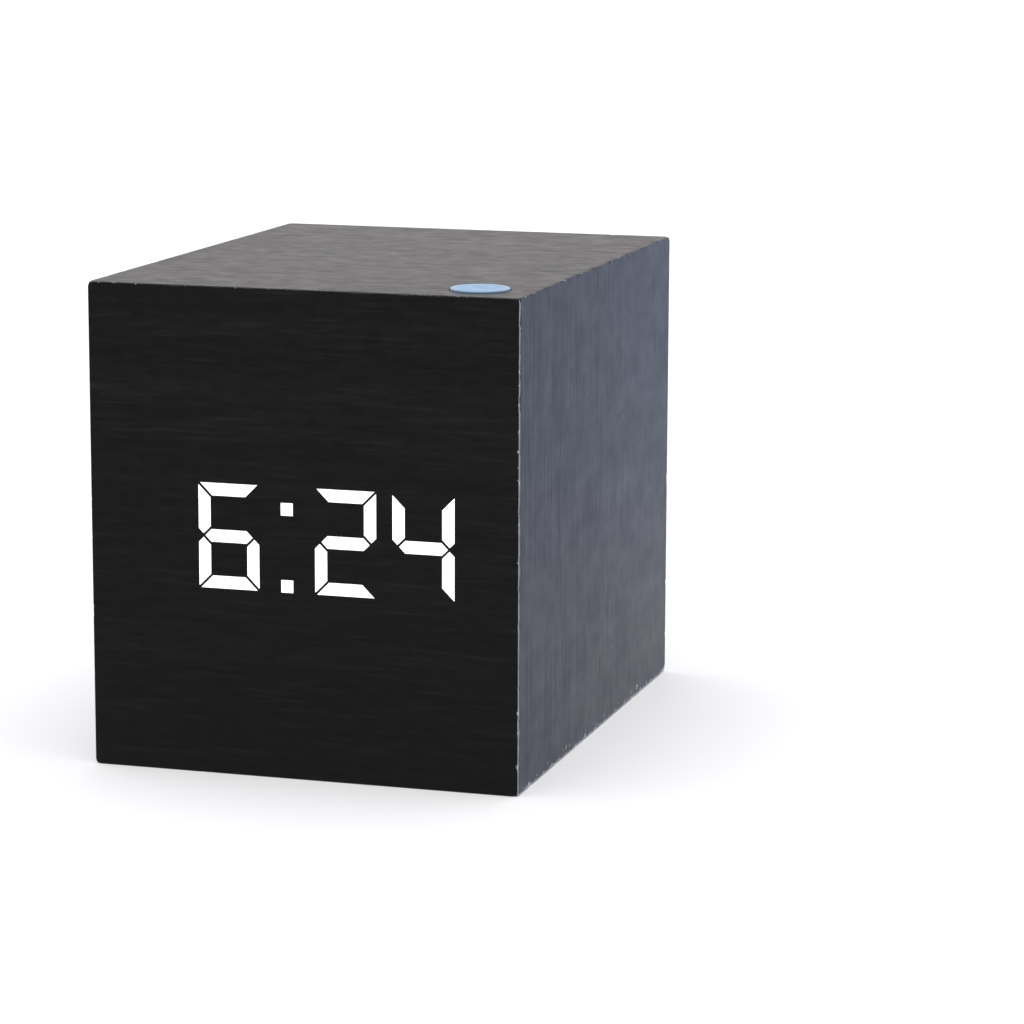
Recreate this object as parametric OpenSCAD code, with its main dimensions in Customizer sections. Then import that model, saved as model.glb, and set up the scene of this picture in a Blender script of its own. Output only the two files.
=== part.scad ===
// LED cube alarm clock: a mitred fibreboard case covered in black wood-grain film, a segment
// display that shines through the front, a round snooze button on top, and a moulded back cover
// with three set buttons, a power socket and a battery bay behind a hinged door.
// Millimetres. The origin is the middle of the base, +Z is up and the front faces -Y.

/* [Case] */
// Width of the case, side to side
case_w = 60; // [54:1:80]
// Depth of the case, front to back
case_d = 78; // [70:1:110]
// Height of the case
case_h = 66; // [59:1:90]
// Thickness of the fibreboard panels
panel_t = 4; // [3:0.25:4]
// Thickness of the wood-grain film over the front
film_t = 0.3; // [0.2:0.05:0.6]
// Radius of the outer edges
edge_r = 0.5; // [0.2:0.1:1]

/* [Display] */
// Hour on show
shown_hour = 6; // [1:1:12]
// Minute on show
shown_minute = 24; // [0:1:59]
// Width of a digit
digit_w = 8.5; // [7.5:0.1:9]
// Height of a digit
digit_h = 14.2; // [12:0.1:16]
// Width of a segment's bar
seg_t = 1.65; // [1.4:0.05:2]
// Dark line between two segments
seg_gap = 0.4; // [0.3:0.05:0.6]
// Distance from a digit's side to the point where its middle segments meet
seg_joint = 0.65; // [0.4:0.05:0.8]
// Step from one digit to the next
digit_pitch = 10.8; // [10.6:0.1:11.5]
// Step from the hour digit to the first minute digit, across the colon
colon_pitch = 16.4; // [14:0.1:17]
// Left side of the hour digit, from the middle of the front
hour_x = -14.5; // [-15:0.1:-13]
// Distance of the digits' tops below the top of the case
digit_drop = 26.3; // [24:0.1:34]
// Side of a square colon dot
dot_s = 1.65; // [1.2:0.05:2]
// Height of the lower colon dot's middle above the digits' feet
dot_low = 0.8; // [0.6:0.1:4]
// Height of the upper colon dot's middle above the digits' feet
dot_high = 11.2; // [8:0.1:12]
// Depth of the reflector's light wells
well_depth = 7; // [6:0.5:10]
// Reflector wall outside the outermost segments
well_wall = 1.2; // [0.8:0.1:1.5]
// Thickness of a segment's diffuser behind the film
lens_t = 1; // [0.6:0.1:2]
// Thickness of the reflector's mounting flange
flange_t = 2; // [1.5:0.1:3]
// Height of the flange's ears above and below the light wells
ear_h = 5.5; // [5:0.5:7]

/* [Snooze button] */
// Diameter of the round cap
snooze_d = 8.2; // [6:0.1:9]
// Distance of its middle from the front and the right side of the case
snooze_inset = 7.7; // [7.6:0.1:16]
// Height of the cap above the top at rest
snooze_proud = 0.3; // [0.2:0.1:0.6]
// Thickness of the cap
snooze_cap_t = 2; // [1.5:0.1:2.2]
// Diameter of the stem under the cap
stem_d = 3; // [2.5:0.1:3.4]
// Length of the stem below the top panel
stem_reach = 3; // [2:0.5:6]

/* [Set buttons] */
// Diameter of a rear button's cap
cap_d = 6; // [4:0.5:6.5]
// Diameter of the flange that keeps the cap in
cap_flange_d = 7.4; // [7.2:0.1:8]
// Thickness of that flange
cap_flange_t = 1; // [0.8:0.1:1.5]
// Height of the cap above the back cover
cap_proud = 0.8; // [0.6:0.1:1]
// Step from one button to the next
cap_pitch = 8.5; // [8.3:0.1:9]
// Travel of every button
press_travel = 0.5; // [0.3:0.05:0.7]
// Distance of the last button from the cover's side
key_inset = 10.8; // [10:0.1:14]
// Distance of the button row above the battery bay
key_rise = 12; // [10:0.5:18]

/* [Back cover] */
// Thickness of the cover plate
cover_t = 2.5; // [2.3:0.1:3]
// Depth of the cover inside the case's rear edge
cover_recess = 1; // [1:0.1:3]
// Side of the square glue blocks in the corners
block_s = 6.5; // [5.5:0.5:7]
// Length of the glue blocks
block_l = 12; // [10:1:16]

/* [Battery] */
// Diameter of a cell
cell_d = 10.5; // [9.5:0.1:14.5]
// Length of a cell over its terminals
cell_l = 44.5; // [40:0.1:50.5]
// Room for a compressed contact spring
spring_l = 3.2; // [3:0.1:5]
// Wire of a contact spring
spring_wire = 0.5; // [0.4:0.05:0.6]
// Thickness of a contact plate
plate_t = 0.4; // [0.3:0.05:0.5]
// Wall of the battery bay
bay_wall = 1.2; // [1:0.1:2]
// Height of the bay above the inside of the base
bay_lift = 3; // [2:0.5:8]
// Thickness of the door
door_t = 1.8; // [1.5:0.1:2]
// Diameter of the door's hinge pins
pin_d = 1.6; // [1.2:0.1:1.8]

/* [Boards] */
// Thickness of the circuit boards
board_t = 1.6; // [1:0.1:2]
// Height of a push switch, from its board to the top of its plunger
switch_h = 5; // [4.5:0.1:6]
// Diameter of the screws
screw_d = 2; // [1.8:0.1:2.2]

/* [Hidden] */
$fn = 40;

// Clearances
slip = 0.2;          // fixed pieces that drop into a cut-out
lens_fit = 0.05;     // diffusers in the film and the reflector
cap_fit = 0.15;      // button caps in their holes
pin_fit = 0.05;      // hinge pins and plungers in their bores
pilot_fit = 0.03;    // screws in their pilot holes
door_gap = 0.3;      // battery door in its opening
cell_gap = 0.5;      // between two cells, and from the cells to the door
cell_side = 0.5;     // from the outer cells to the bay
cell_floor = 0.2;    // from the hinge barrel to the cells
stop_gap = 0.1;      // below a button at the end of its travel

// Outside and inside of the case
out_x = case_w / 2;
in_x = out_x - panel_t;
in_z0 = panel_t;
in_z1 = case_h - panel_t;
front_y = -case_d / 2;
rear_y = case_d / 2;
film_y = front_y + film_t;
panel_y = front_y + panel_t;

// Display
digit_z = case_h - digit_drop - digit_h;
digit_left = [hour_x - digit_pitch, hour_x, hour_x + colon_pitch, hour_x + colon_pitch + digit_pitch];
colon_x = (digit_left[1] + digit_w + digit_left[2]) / 2;
block_x0 = digit_left[0] + digit_w - seg_t - well_wall;
block_x1 = digit_left[3] + digit_w + well_wall;
block_z0 = digit_z - well_wall;
block_z1 = digit_z + digit_h + well_wall;
flange_rim = 0.5;
board_x0 = block_x0 - flange_rim;
board_x1 = block_x1 + flange_rim;
board_z0 = block_z0 - ear_h;
board_z1 = block_z1 + ear_h;
board_y0 = film_y + well_depth;
board_y1 = board_y0 + board_t;
ear_x = 2.5;
display_screw_at = [
    for (x = [block_x0 + ear_x, block_x1 - ear_x], z = [board_z0 + ear_h / 2, board_z1 - ear_h / 2]) [x, z]
];
ear_boss_d = 5;
led = [2, 1.25, 0.8];

// Parts on the back of the display board, placed from its middle
chip = [12.8, 7.5, 2.4];
chip_at = [6, -6];
chip_foot = 0.2;
chip_leg = 0.4;
chip_pitch = 1.27;
crystal_d = 2.1;
crystal_l = 6;
crystal_wire = 0.4;
crystal_at = [4, 3];
buzzer_d = 12;
buzzer_h = 8.5;
buzzer_hole_d = 2;
buzzer_at = [-12, 3];
can_d = 6.3;
can_h = 7.7;
can_foot = 1.2;
can_at = [-10, -8];

// Segments lit by each figure, and the figures on show
LIT = ["abcdef", "bc", "abdeg", "abcdg", "bcfg", "acdfg", "acdefg", "abc", "abcdefg", "abcdfg"];
hour = round(shown_hour);
minute = round(shown_minute);
figures = [hour >= 10 ? LIT[1] : "", LIT[hour % 10], LIT[floor(minute / 10) % 10], LIT[minute % 10]];

// Screws
head_d = 2 * screw_d;
head_h = 0.6 * screw_d;
bite = 2.4;
pilot_d = screw_d + 2 * pilot_fit;
through_d = screw_d + 2 * slip;

// Push switches
switch_s = 6;
switch_body_h = switch_h - 1.5;
plunger_d = 3.4;
plunger_in = 1.2;

// Snooze button
snooze_x = case_w / 2 - snooze_inset;
snooze_y = front_y + snooze_inset;
snooze_z1 = case_h + snooze_proud;
snooze_z0 = snooze_z1 - snooze_cap_t;
snooze_seat = snooze_z0 - press_travel - stop_gap;
stem_z0 = in_z1 - stem_reach;
clip_d = stem_d + 2.5;
clip_t = 0.6;
snooze_board_z1 = stem_z0 - switch_h;
snooze_board_z0 = snooze_board_z1 - board_t;
snooze_post_at = [[-11, 0], [0, 8.5]];
snooze_board_lo = [-14, -3.3];
snooze_board_hi = [3.3, 11.5];
spacer_d = 4.6;

// Back cover
cover_y1 = rear_y - cover_recess;
cover_y0 = cover_y1 - cover_t;
cover_x = in_x - slip;
cover_z0 = in_z0 + slip;
cover_z1 = in_z1 - slip;
cover_screw_at = [
    for (s = [-1, 1], z = [in_z0 + block_s / 2, in_z1 - block_s / 2]) [s * (in_x - block_s / 2), z]
];
cover_screw_l = 8;

// Battery bay for two cells side by side, pushed in end first from the back.
// The left cell goes in terminal first, the right one flat end first.
bay_l = cell_l + spring_l + 2 * plate_t;
cell_x = [-(cell_d + cell_gap) / 2, (cell_d + cell_gap) / 2];
bay_x = cell_x[1] + cell_d / 2 + cell_side;
bay_z0 = in_z0 + bay_lift + bay_wall;
cell_z = bay_z0 + cell_side + cell_d / 2;
bay_z1 = cell_z + cell_d / 2 + cell_side;
door_y1 = cover_y1;
door_y0 = door_y1 - door_t;
bay_y1 = door_y0;
bay_y0 = bay_y1 - bay_l;
bay_out_y0 = bay_y0 - bay_wall;
nub_l = 0.8;
nub_d = 3.8;

// Set buttons and the control board above the bay
cap_y1 = cover_y1 + cap_proud;
cap_y0 = cover_y0 - cap_flange_t;
cap_rim = 0.4;
controls_z = bay_z1 + bay_wall + key_rise;
cap_x = [for (i = [0:2]) cover_x - key_inset + (i - 2) * cap_pitch];
usb_step = 10.5;
usb_x = cap_x[0] - usb_step;
control_y1 = cap_y0 - switch_h;
control_y0 = control_y1 - board_t;
control_rim = [6.4, 3.9, 4.3, 7.5];
control_x0 = usb_x - control_rim[0];
control_x1 = cap_x[2] + control_rim[1];
control_z0 = controls_z - control_rim[2];
control_z1 = controls_z + control_rim[3];
control_boss_d = 4.4;
control_boss_z = control_z1 - control_boss_d / 2;
control_boss_at = [[usb_x, control_boss_z], [cap_x[1] + cap_pitch / 2, control_boss_z]];
control_bite = 4;

// Power socket, a round-ended slot with a tongue
usb_w = 8.94;
usb_h = 3.16;
usb_wall = 0.3;
usb_y1 = cover_y1 - 0.2;
usb_base = 1.6;
usb_in = 2 * (usb_wall + pin_fit);
usb_tongue = [6.69, 0.7];
usb_tongue_back = 1.2;

// Ridges in the bay and sound slots in the cover
ridge_w = 1.6;
ridge_h = 2;
ridge_back = 6;
slot_pitch = 3.2;
slot_w = 1.2;
slot_l = 6;
slot_drop = 8;

// Battery door
barrel_r = (door_t + plate_t + nub_l - cell_floor) / 2;
hinge_y = door_y1 - barrel_r;
hinge_z = bay_z0 + door_gap + barrel_r;
door_x = bay_x - door_gap;
door_z1 = bay_z1 - door_gap;
pin_l = 1;
latch_w = 9;
latch_l = 8;
latch_slot = 0.8;

// Contact plates and their solder tabs
plate_w = 8.6;
tab_w = 2.4;
tab_rise = 1.5;
tab_fit = 0.1;

// Wires
wire_d = 1.2;
wire_steps = 16;
wire_sides = 8;
pad_in = 2;
lead_bend = 8;
lead_reach = 14;
ribbon_reach = 22;
plug_in = 1.1;
ribbon_w = 7.5;
ribbon_t = 0.9;
plug_d = 4;
plug_h = 4.4;
plug_wall = 0.8;

// Extrusions between two planes. The outline is drawn in (x, z), (y, z) or (x, y).
module along_y(y0, y1) translate([0, y1, 0]) rotate([90, 0, 0]) linear_extrude(y1 - y0) children();
module along_x(x0, x1) translate([x0, 0, 0]) rotate([90, 0, 90]) linear_extrude(x1 - x0) children();
module along_z(z0, z1) translate([0, 0, z0]) linear_extrude(z1 - z0) children();

// Round bars between two planes
module rod_y(d, y0, y1) translate([0, y1, 0]) rotate([90, 0, 0]) cylinder(d = d, h = y1 - y0);
module rod_x(d, x0, x1) translate([x0, 0, 0]) rotate([0, 90, 0]) cylinder(d = d, h = x1 - x0);
module rod_z(d, z0, z1) translate([0, 0, z0]) cylinder(d = d, h = z1 - z0);

module at_xz(p) translate([p[0], 0, p[1]]) children();
module rect(lo, hi) translate(lo) square(hi - lo);

// Rectangle with arcs of radius r at its corners
module soft_rect(lo, hi, r, steps = 4) {
    in_lo = lo + [r, r];
    in_hi = hi - [r, r];
    corner = [in_hi, [in_lo[0], in_hi[1]], in_lo, [in_hi[0], in_lo[1]]];
    polygon([for (q = [0:3], i = [0:steps]) let (a = 90 * (q + i / steps)) corner[q] + r * [cos(a), sin(a)]]);
}

// Slot with round ends, w over all and h high
module stadium(w, h) {
    square([w - h, h], center = true);
    for (s = [-1, 1]) translate([s * (w - h) / 2, 0]) circle(d = h);
}

// Pan-head screw along -Z from its seat at the origin, with a cross recess
module screw(l) {
    difference() {
        union() {
            rod_z(screw_d, -l, 0.01);
            rotate_extrude() polygon([
                [0, 0], [head_d / 2, 0], [head_d / 2, head_h * 0.6], [head_d * 0.36, head_h], [0, head_h]
            ]);
        }
        for (a = [0, 90]) rotate(a) along_z(head_h * 0.4, head_h + 1)
            square([head_d * 0.56, screw_d * 0.24], center = true);
    }
}
module screw_to_front(p, seat_y, l) translate([p[0], seat_y, p[1]]) rotate([-90, 0, 0]) screw(l);
module screw_to_rear(p, seat_y, l) translate([p[0], seat_y, p[1]]) rotate([90, 0, 0]) screw(l);

// Case: one block with soft edges, split on the mitres into its panels
module case_block() intersection() {
    along_z(0, case_h) soft_rect([-out_x, front_y], [out_x, rear_y], edge_r);
    along_y(front_y, rear_y) soft_rect([-out_x, 0], [out_x, case_h], edge_r);
    along_x(-out_x, out_x) soft_rect([front_y, 0], [rear_y, case_h], edge_r);
}

module lid_panel() intersection() {
    case_block();
    along_y(front_y, rear_y) polygon([[-out_x, case_h], [out_x, case_h], [in_x, in_z1], [-in_x, in_z1]]);
    along_x(-out_x, out_x) polygon([[front_y, case_h], [rear_y, case_h], [rear_y, in_z1], [panel_y, in_z1]]);
}

module side_panel() intersection() {
    case_block();
    along_y(front_y, rear_y) polygon([[out_x, 0], [out_x, case_h], [in_x, in_z1], [in_x, in_z0]]);
    along_z(0, case_h) polygon([[out_x, front_y], [out_x, rear_y], [in_x, rear_y], [in_x, panel_y]]);
}

// The mitred front between two depths
module front_layer(y0, y1) intersection() {
    case_block();
    along_z(0, case_h) polygon([[-out_x, front_y], [out_x, front_y], [in_x, panel_y], [-in_x, panel_y]]);
    along_x(-out_x, out_x) polygon([[front_y, 0], [front_y, case_h], [panel_y, in_z1], [panel_y, in_z0]]);
    along_y(y0, y1) rect([-out_x, 0], [out_x, case_h]);
}

module front_panel() color("#3a2c22") difference() {
    front_layer(film_y, panel_y);
    along_y(front_y - 1, panel_y + 1)
        rect([block_x0 - slip, block_z0 - slip], [block_x1 + slip, block_z1 + slip]);
    for (p = display_screw_at) at_xz(p) rod_y(pilot_d, panel_y - bite - slip, panel_y + 1);
}

module front_film() color("#1e1e1f") difference() {
    front_layer(front_y, film_y);
    along_y(front_y - 1, film_y + 1) lit_outlines(lens_fit);
}

module top_panel() color("#2a2a2b") difference() {
    lid_panel();
    translate([snooze_x, snooze_y, 0]) {
        rod_z(snooze_d + 2 * cap_fit, snooze_seat, case_h + 1);
        rod_z(stem_d + 2 * cap_fit, in_z1 - 1, case_h);
        for (p = snooze_post_at) translate(p) rod_z(pilot_d, in_z1 - 1, in_z1 + bite + slip);
    }
}

module bottom_panel() color("#232324") translate([0, 0, case_h]) mirror([0, 0, 1]) lid_panel();
module right_panel() color("#2c2d31") side_panel();
module left_panel() color("#2c2d31") mirror([1, 0, 0]) side_panel();

module corner_blocks() color("tan") for (p = cover_screw_at) difference() {
    along_y(cover_y0 - block_l, cover_y0) translate(p) square(block_s, center = true);
    at_xz(p) rod_y(pilot_d, cover_y1 - head_h - cover_screw_l - 0.3, cover_y0 + 1);
}

// Segments of one figure, drawn from its lower left corner and grown by c on every side
function segment(s, c) = let (
    w = digit_w + 2 * c, h = digit_h + 2 * c, m = h / 2,
    t = seg_t + 2 * c, j = seg_joint + c, k = (seg_gap - 2 * c) / sqrt(2), e = j + k, f = e + t / 2,
    bar = [[k, h], [w - k, h], [w - t - k, h - t], [t + k, h - t]],
    post = [[0, h - k], [t, h - t - k], [t, m + t - j + k], [j, m + k], [0, m + j + k]],
    mid = [[e, m], [f, m + t / 2], [w - f, m + t / 2], [w - e, m], [w - f, m - t / 2], [f, m - t / 2]],
    shape = s == "a" || s == "d" ? bar : s == "g" ? mid : post,
    flip_x = s == "b" || s == "c", flip_z = s == "c" || s == "d" || s == "e"
) [for (p = shape) [(flip_x ? w - p[0] : p[0]) - c, (flip_z ? h - p[1] : p[1]) - c]];

module segment_outline(i, s, c) translate([digit_left[i], digit_z]) polygon(segment(s, c));
module dot_outline(i, c) translate([colon_x, digit_z + [dot_low, dot_high][i]])
    square(dot_s + 2 * c, center = true);

function is_lit(i, s) = len(search(s, figures[i])) > 0;
function segments_of(i) = i == 0 ? "bc" : "abcdefg";

module lit_outlines(c) {
    for (i = [0:3], s = segments_of(i)) if (is_lit(i, s)) segment_outline(i, s, c);
    for (i = [0:1]) dot_outline(i, c);
}

module well_outlines(c) {
    for (i = [0:3], s = segments_of(i)) segment_outline(i, s, c);
    for (i = [0:1]) dot_outline(i, c);
}

// Diffusers of one figure: a lit one comes up flush with the film, a dark one stops under it
module figure(i) color("white") for (s = segments_of(i))
    along_y(is_lit(i, s) ? front_y : film_y, film_y + lens_t) segment_outline(i, s, 0);

module leading_one() figure(0);
module hour_digit() figure(1);
module tens_digit() figure(2);
module units_digit() figure(3);
module colon_dots() color("white") for (i = [0:1]) along_y(front_y, film_y + lens_t) dot_outline(i, 0);

// White moulding with one light well for each segment, screwed behind the window in the front
module display_reflector() color("whitesmoke") difference() {
    union() {
        along_y(film_y, board_y0) rect([block_x0, block_z0], [block_x1, block_z1]);
        along_y(panel_y, panel_y + flange_t) rect([board_x0, board_z0], [board_x1, board_z1]);
        for (p = display_screw_at) at_xz(p) rod_y(ear_boss_d, panel_y, board_y0);
    }
    along_y(film_y - 1, board_y0 + 1) well_outlines(lens_fit);
    for (p = display_screw_at) at_xz(p) rod_y(through_d, panel_y - 1, board_y0 + 1);
}

// One lamp at the bottom of each well, its long side along the segment
function segment_middle(s) =
    s == "a" ? [digit_w / 2, digit_h - seg_t / 2] : s == "d" ? [digit_w / 2, seg_t / 2] :
    s == "g" ? [digit_w / 2, digit_h / 2] :
    [
        s == "e" || s == "f" ? seg_t / 2 : digit_w - seg_t / 2,
        s == "b" || s == "f" ? digit_h * 3 / 4 : digit_h / 4
    ];

module led_body(size) along_y(board_y0 - led[2], board_y0) square(size, center = true);

module segment_leds() color("lemonchiffon") {
    for (i = [0:3], s = segments_of(i)) at_xz([digit_left[i], digit_z] + segment_middle(s))
        led_body(len(search(s, "adg")) > 0 ? [led[0], led[1]] : [led[1], led[0]]);
    for (z = [dot_low, dot_high]) at_xz([colon_x, digit_z + z]) led_body([led[1], led[1]]);
}

module display_board() color("darkgreen") difference() {
    along_y(board_y0, board_y1) rect([board_x0, board_z0], [board_x1, board_z1]);
    for (p = display_screw_at) at_xz(p) rod_y(through_d, board_y0 - 1, board_y1 + 1);
}

module display_screws() color("silver") for (p = display_screw_at)
    screw_to_front(p, board_y1, board_y1 - panel_y + bite);

board_mid = [(board_x0 + board_x1) / 2, (board_z0 + board_z1) / 2];
module on_display_board(p) translate([board_mid[0] + p[0], board_y1, board_mid[1] + p[1]]) children();

module microcontroller() color("#202020") on_display_board(chip_at) {
    along_y(chip_foot, chip[2]) square([chip[0], chip[1]], center = true);
    for (side = [0, 1], i = [-4.5:4.5]) mirror([0, 0, side]) translate([i * chip_pitch, 0, chip[1] / 2]) {
        along_y(0, chip_foot) rect([-chip_leg / 2, 0], [chip_leg / 2, 3 * chip_leg]);
        along_y(0, chip[2] / 2) rect([-chip_leg / 2, -chip_leg], [chip_leg / 2, chip_leg]);
    }
}

module quartz_crystal() color("silver") on_display_board(crystal_at) {
    translate([0, crystal_d / 2, 0]) rod_x(crystal_d, 0, crystal_l);
    for (s = [-1, 1]) translate([0, crystal_wire, s * crystal_wire]) {
        rod_x(crystal_wire, -3 * crystal_wire, 0.01);
        translate([-3 * crystal_wire, 0, 0]) rod_y(crystal_wire, -crystal_wire, crystal_wire / 2);
    }
}

module buzzer() color("#181818") on_display_board(buzzer_at) difference() {
    rod_y(buzzer_d, 0, buzzer_h);
    rod_y(buzzer_hole_d, buzzer_h - buzzer_hole_d, buzzer_h + 1);
}

module smoothing_capacitor() color("#30343c") on_display_board(can_at) {
    along_y(0, can_foot) square(can_d + slip, center = true);
    rod_y(can_d, can_foot / 2, can_h);
}

module ribbon_socket_body() difference() {
    along_y(0, plug_d) square([ribbon_w + 2 * plug_wall, plug_h], center = true);
    along_y(plug_wall, plug_d + 1) square([ribbon_w + slip, plug_h - 2 * plug_wall], center = true);
}

ribbon_x = board_mid[0] - plug_h / 2;
display_socket_z = board_z1 - plug_d;
control_socket_z = control_z1 - plug_d;

module display_ribbon_socket() color("ivory")
    translate([ribbon_x, board_y1, display_socket_z]) ribbon_socket_body();
module control_ribbon_socket() color("ivory")
    translate([ribbon_x, control_y0, control_socket_z]) mirror([0, 1, 0]) ribbon_socket_body();

module control_board() color("darkgreen") difference() {
    along_y(control_y0, control_y1) rect([control_x0, control_z0], [control_x1, control_z1]);
    for (p = control_boss_at) at_xz(p) rod_y(through_d, control_y0 - 1, control_y1 + 1);
}

module control_board_screws() color("silver") for (p = control_boss_at)
    screw_to_rear(p, control_y0, board_t + control_bite);

// Push switch body along +Z from its board, with the bore that its plunger slides in
module switch_body() difference() {
    translate([-switch_s / 2, -switch_s / 2, 0]) cube([switch_s, switch_s, switch_body_h]);
    rod_z(plunger_d + 2 * pin_fit, switch_body_h - plunger_in - press_travel - 0.3, switch_body_h + 1);
}
module switch_plunger() rod_z(plunger_d, switch_body_h - plunger_in, switch_h);
module on_control_board(x) translate([x, control_y1, controls_z]) rotate([-90, 0, 0]) children();

module rear_switch_bodies() color("#2b2b2b") for (x = cap_x) on_control_board(x) switch_body();
module set_switch_plunger() color("dimgray") on_control_board(cap_x[0]) switch_plunger();
module up_switch_plunger() color("dimgray") on_control_board(cap_x[1]) switch_plunger();
module down_switch_plunger() color("dimgray") on_control_board(cap_x[2]) switch_plunger();

// Rear button: a cap with a softened rim and a flange behind the cover
module rear_button(x) color("#242426") translate([x, cap_y0, controls_z]) rotate([-90, 0, 0]) {
    cap_l = cap_y1 - cap_y0;
    rotate_extrude() polygon([
        [0, 0], [cap_flange_d / 2, 0], [cap_flange_d / 2, cap_flange_t], [cap_d / 2, cap_flange_t],
        [cap_d / 2, cap_l - cap_rim], [cap_d / 2 - cap_rim, cap_l], [0, cap_l]
    ]);
}
module set_button() rear_button(cap_x[0]);
module up_button() rear_button(cap_x[1]);
module down_button() rear_button(cap_x[2]);

module usb_socket_shell() color("gainsboro") translate([usb_x, 0, controls_z]) difference() {
    along_y(control_y1, usb_y1) stadium(usb_w, usb_h);
    along_y(control_y1 - 1, usb_y1 + 1) stadium(usb_w - 2 * usb_wall, usb_h - 2 * usb_wall);
}

module usb_socket_tongue() color("#111111") translate([usb_x, 0, controls_z]) {
    along_y(control_y1, control_y1 + usb_base) stadium(usb_w - usb_in, usb_h - usb_in);
    along_y(control_y1 + usb_base - 0.1, usb_y1 - usb_tongue_back) square(usb_tongue, center = true);
}

// Moulded back: plate, battery bay, bosses and openings
module back_cover() color("#1c1c1d") difference() {
    union() {
        along_y(cover_y0, cover_y1) soft_rect([-cover_x, cover_z0], [cover_x, cover_z1], 0.6);
        along_y(bay_out_y0, cover_y0 + 0.1)
            rect([-bay_x - bay_wall, bay_z0 - bay_wall], [bay_x + bay_wall, bay_z1 + bay_wall]);
        for (p = control_boss_at) at_xz(p) rod_y(control_boss_d, control_y1, cover_y0 + 0.1);
    }
    difference() {
        along_y(bay_y0, cover_y1 + 1) rect([-bay_x, bay_z0], [bay_x, bay_z1]);
        cell_ridges();
    }
    hinge_pins(pin_d + 2 * pin_fit, pin_l + pin_fit);
    for (p = control_boss_at) at_xz(p) rod_y(pilot_d, control_y1 - 1, control_y1 + control_bite + slip);
    for (x = cap_x) at_xz([x, controls_z]) rod_y(cap_d + 2 * cap_fit, cover_y0 - 1, cover_y1 + 1);
    translate([usb_x, 0, controls_z]) along_y(cover_y0 - 1, cover_y1 + 1)
        stadium(usb_w + 2 * slip, usb_h + 2 * slip);
    for (p = cover_screw_at) at_xz(p) {
        rod_y(through_d, cover_y0 - 1, cover_y1 + 1);
        rod_y(head_d + 2 * slip, cover_y1 - head_h, cover_y1 + 1);
    }
    tab_slots();
    sound_slots();
    translate([0, cover_y1 + 3.5, bay_z1 + 0.4]) sphere(d = 9);
}

// Low ridges along the bay's floor and ceiling, between the two cells
module cell_ridges() for (side = [0, 1]) translate([0, 0, cell_z]) mirror([0, 0, side])
    translate([0, 0, bay_z0 - cell_z]) along_y(bay_y0 + ridge_back, bay_y1 - ridge_back)
        polygon([
            [-ridge_w, -1], [-ridge_w, 0], [-ridge_w / 4, ridge_h], [ridge_w / 4, ridge_h], [ridge_w, 0], [ridge_w, -1]
        ]);

// Row of slots for the buzzer's sound
module sound_slots() for (i = [-3:3]) at_xz([i * slot_pitch, in_z1 - slot_drop])
    along_y(cover_y0 - 1, cover_y1 + 1) square([slot_w, slot_l], center = true);

module back_cover_screws() color("silver") for (p = cover_screw_at)
    screw_to_front(p, cover_y1 - head_h, cover_screw_l);

// Door: a plate that rounds into its hinge barrel, with pins at both ends and a latch tongue cut
// free at the top
module battery_door() color("#202021") union() {
    difference() {
        along_x(-door_x, door_x) {
            rect([door_y0, hinge_z], [door_y1, door_z1]);
            translate([hinge_y, hinge_z]) circle(r = barrel_r);
        }
        for (s = [-1, 1]) at_xz([s * (latch_w + latch_slot) / 2, door_z1])
            along_y(door_y0 - 1, door_y1 + 1) rect([-latch_slot / 2, -latch_l], [latch_slot / 2, 1]);
    }
    for (i = [0:2]) translate([0, door_y1, door_z1 - 2 - i * 1.8])
        along_x(1.2 - latch_w / 2, latch_w / 2 - 1.2)
            polygon([[-0.1, -0.5], [0.4, -0.15], [0.4, 0.15], [-0.1, 0.5]]);
    hinge_pins(pin_d, pin_l);
}
module hinge_pins(d, l) for (side = [0, 1]) mirror([side, 0, 0])
    translate([0, hinge_y, hinge_z]) rod_x(d, door_x - 1, door_x + l);

// Cell along +Y from its flat end
module cell() rotate([-90, 0, 0]) rotate_extrude() polygon([
    [0, 0], [cell_d / 2 - 0.4, 0], [cell_d / 2, 0.4], [cell_d / 2, cell_l - nub_l - 0.7],
    [cell_d / 2 - 0.7, cell_l - nub_l], [nub_d / 2, cell_l - nub_l], [nub_d / 2, cell_l], [0, cell_l]
]);
module left_cell() color("#39424e")
    translate([cell_x[0], bay_y0 + plate_t + cell_l, cell_z]) rotate(180) cell();
module right_cell() color("#39424e")
    translate([cell_x[1], bay_y0 + plate_t + spring_l, cell_z]) cell();

// Plates at the bay's inner end, each with a solder tab that goes up through the bay's ceiling
module cell_contacts() color("gainsboro") for (x = cell_x) along_y(bay_y0, bay_y0 + plate_t) {
    rect([x - plate_w / 2, cell_z - plate_w / 2], [x + plate_w / 2, cell_z + plate_w / 2]);
    rect([x - tab_w / 2, cell_z], [x + tab_w / 2, bay_z1 + bay_wall + tab_rise]);
}
module tab_slots() for (x = cell_x) along_y(bay_y0, bay_y0 + plate_t + tab_fit)
    rect([x - tab_w / 2 - tab_fit, cell_z], [x + tab_w / 2 + tab_fit, bay_z1 + bay_wall + 1]);

// Plate on the door that joins the two cells
module door_contact() color("gainsboro") along_y(door_y0 - plate_t, door_y0)
    rect([cell_x[0] - plate_w / 2, cell_z - nub_d / 2], [cell_x[1] + plate_w / 2, cell_z + nub_d]);

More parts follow.
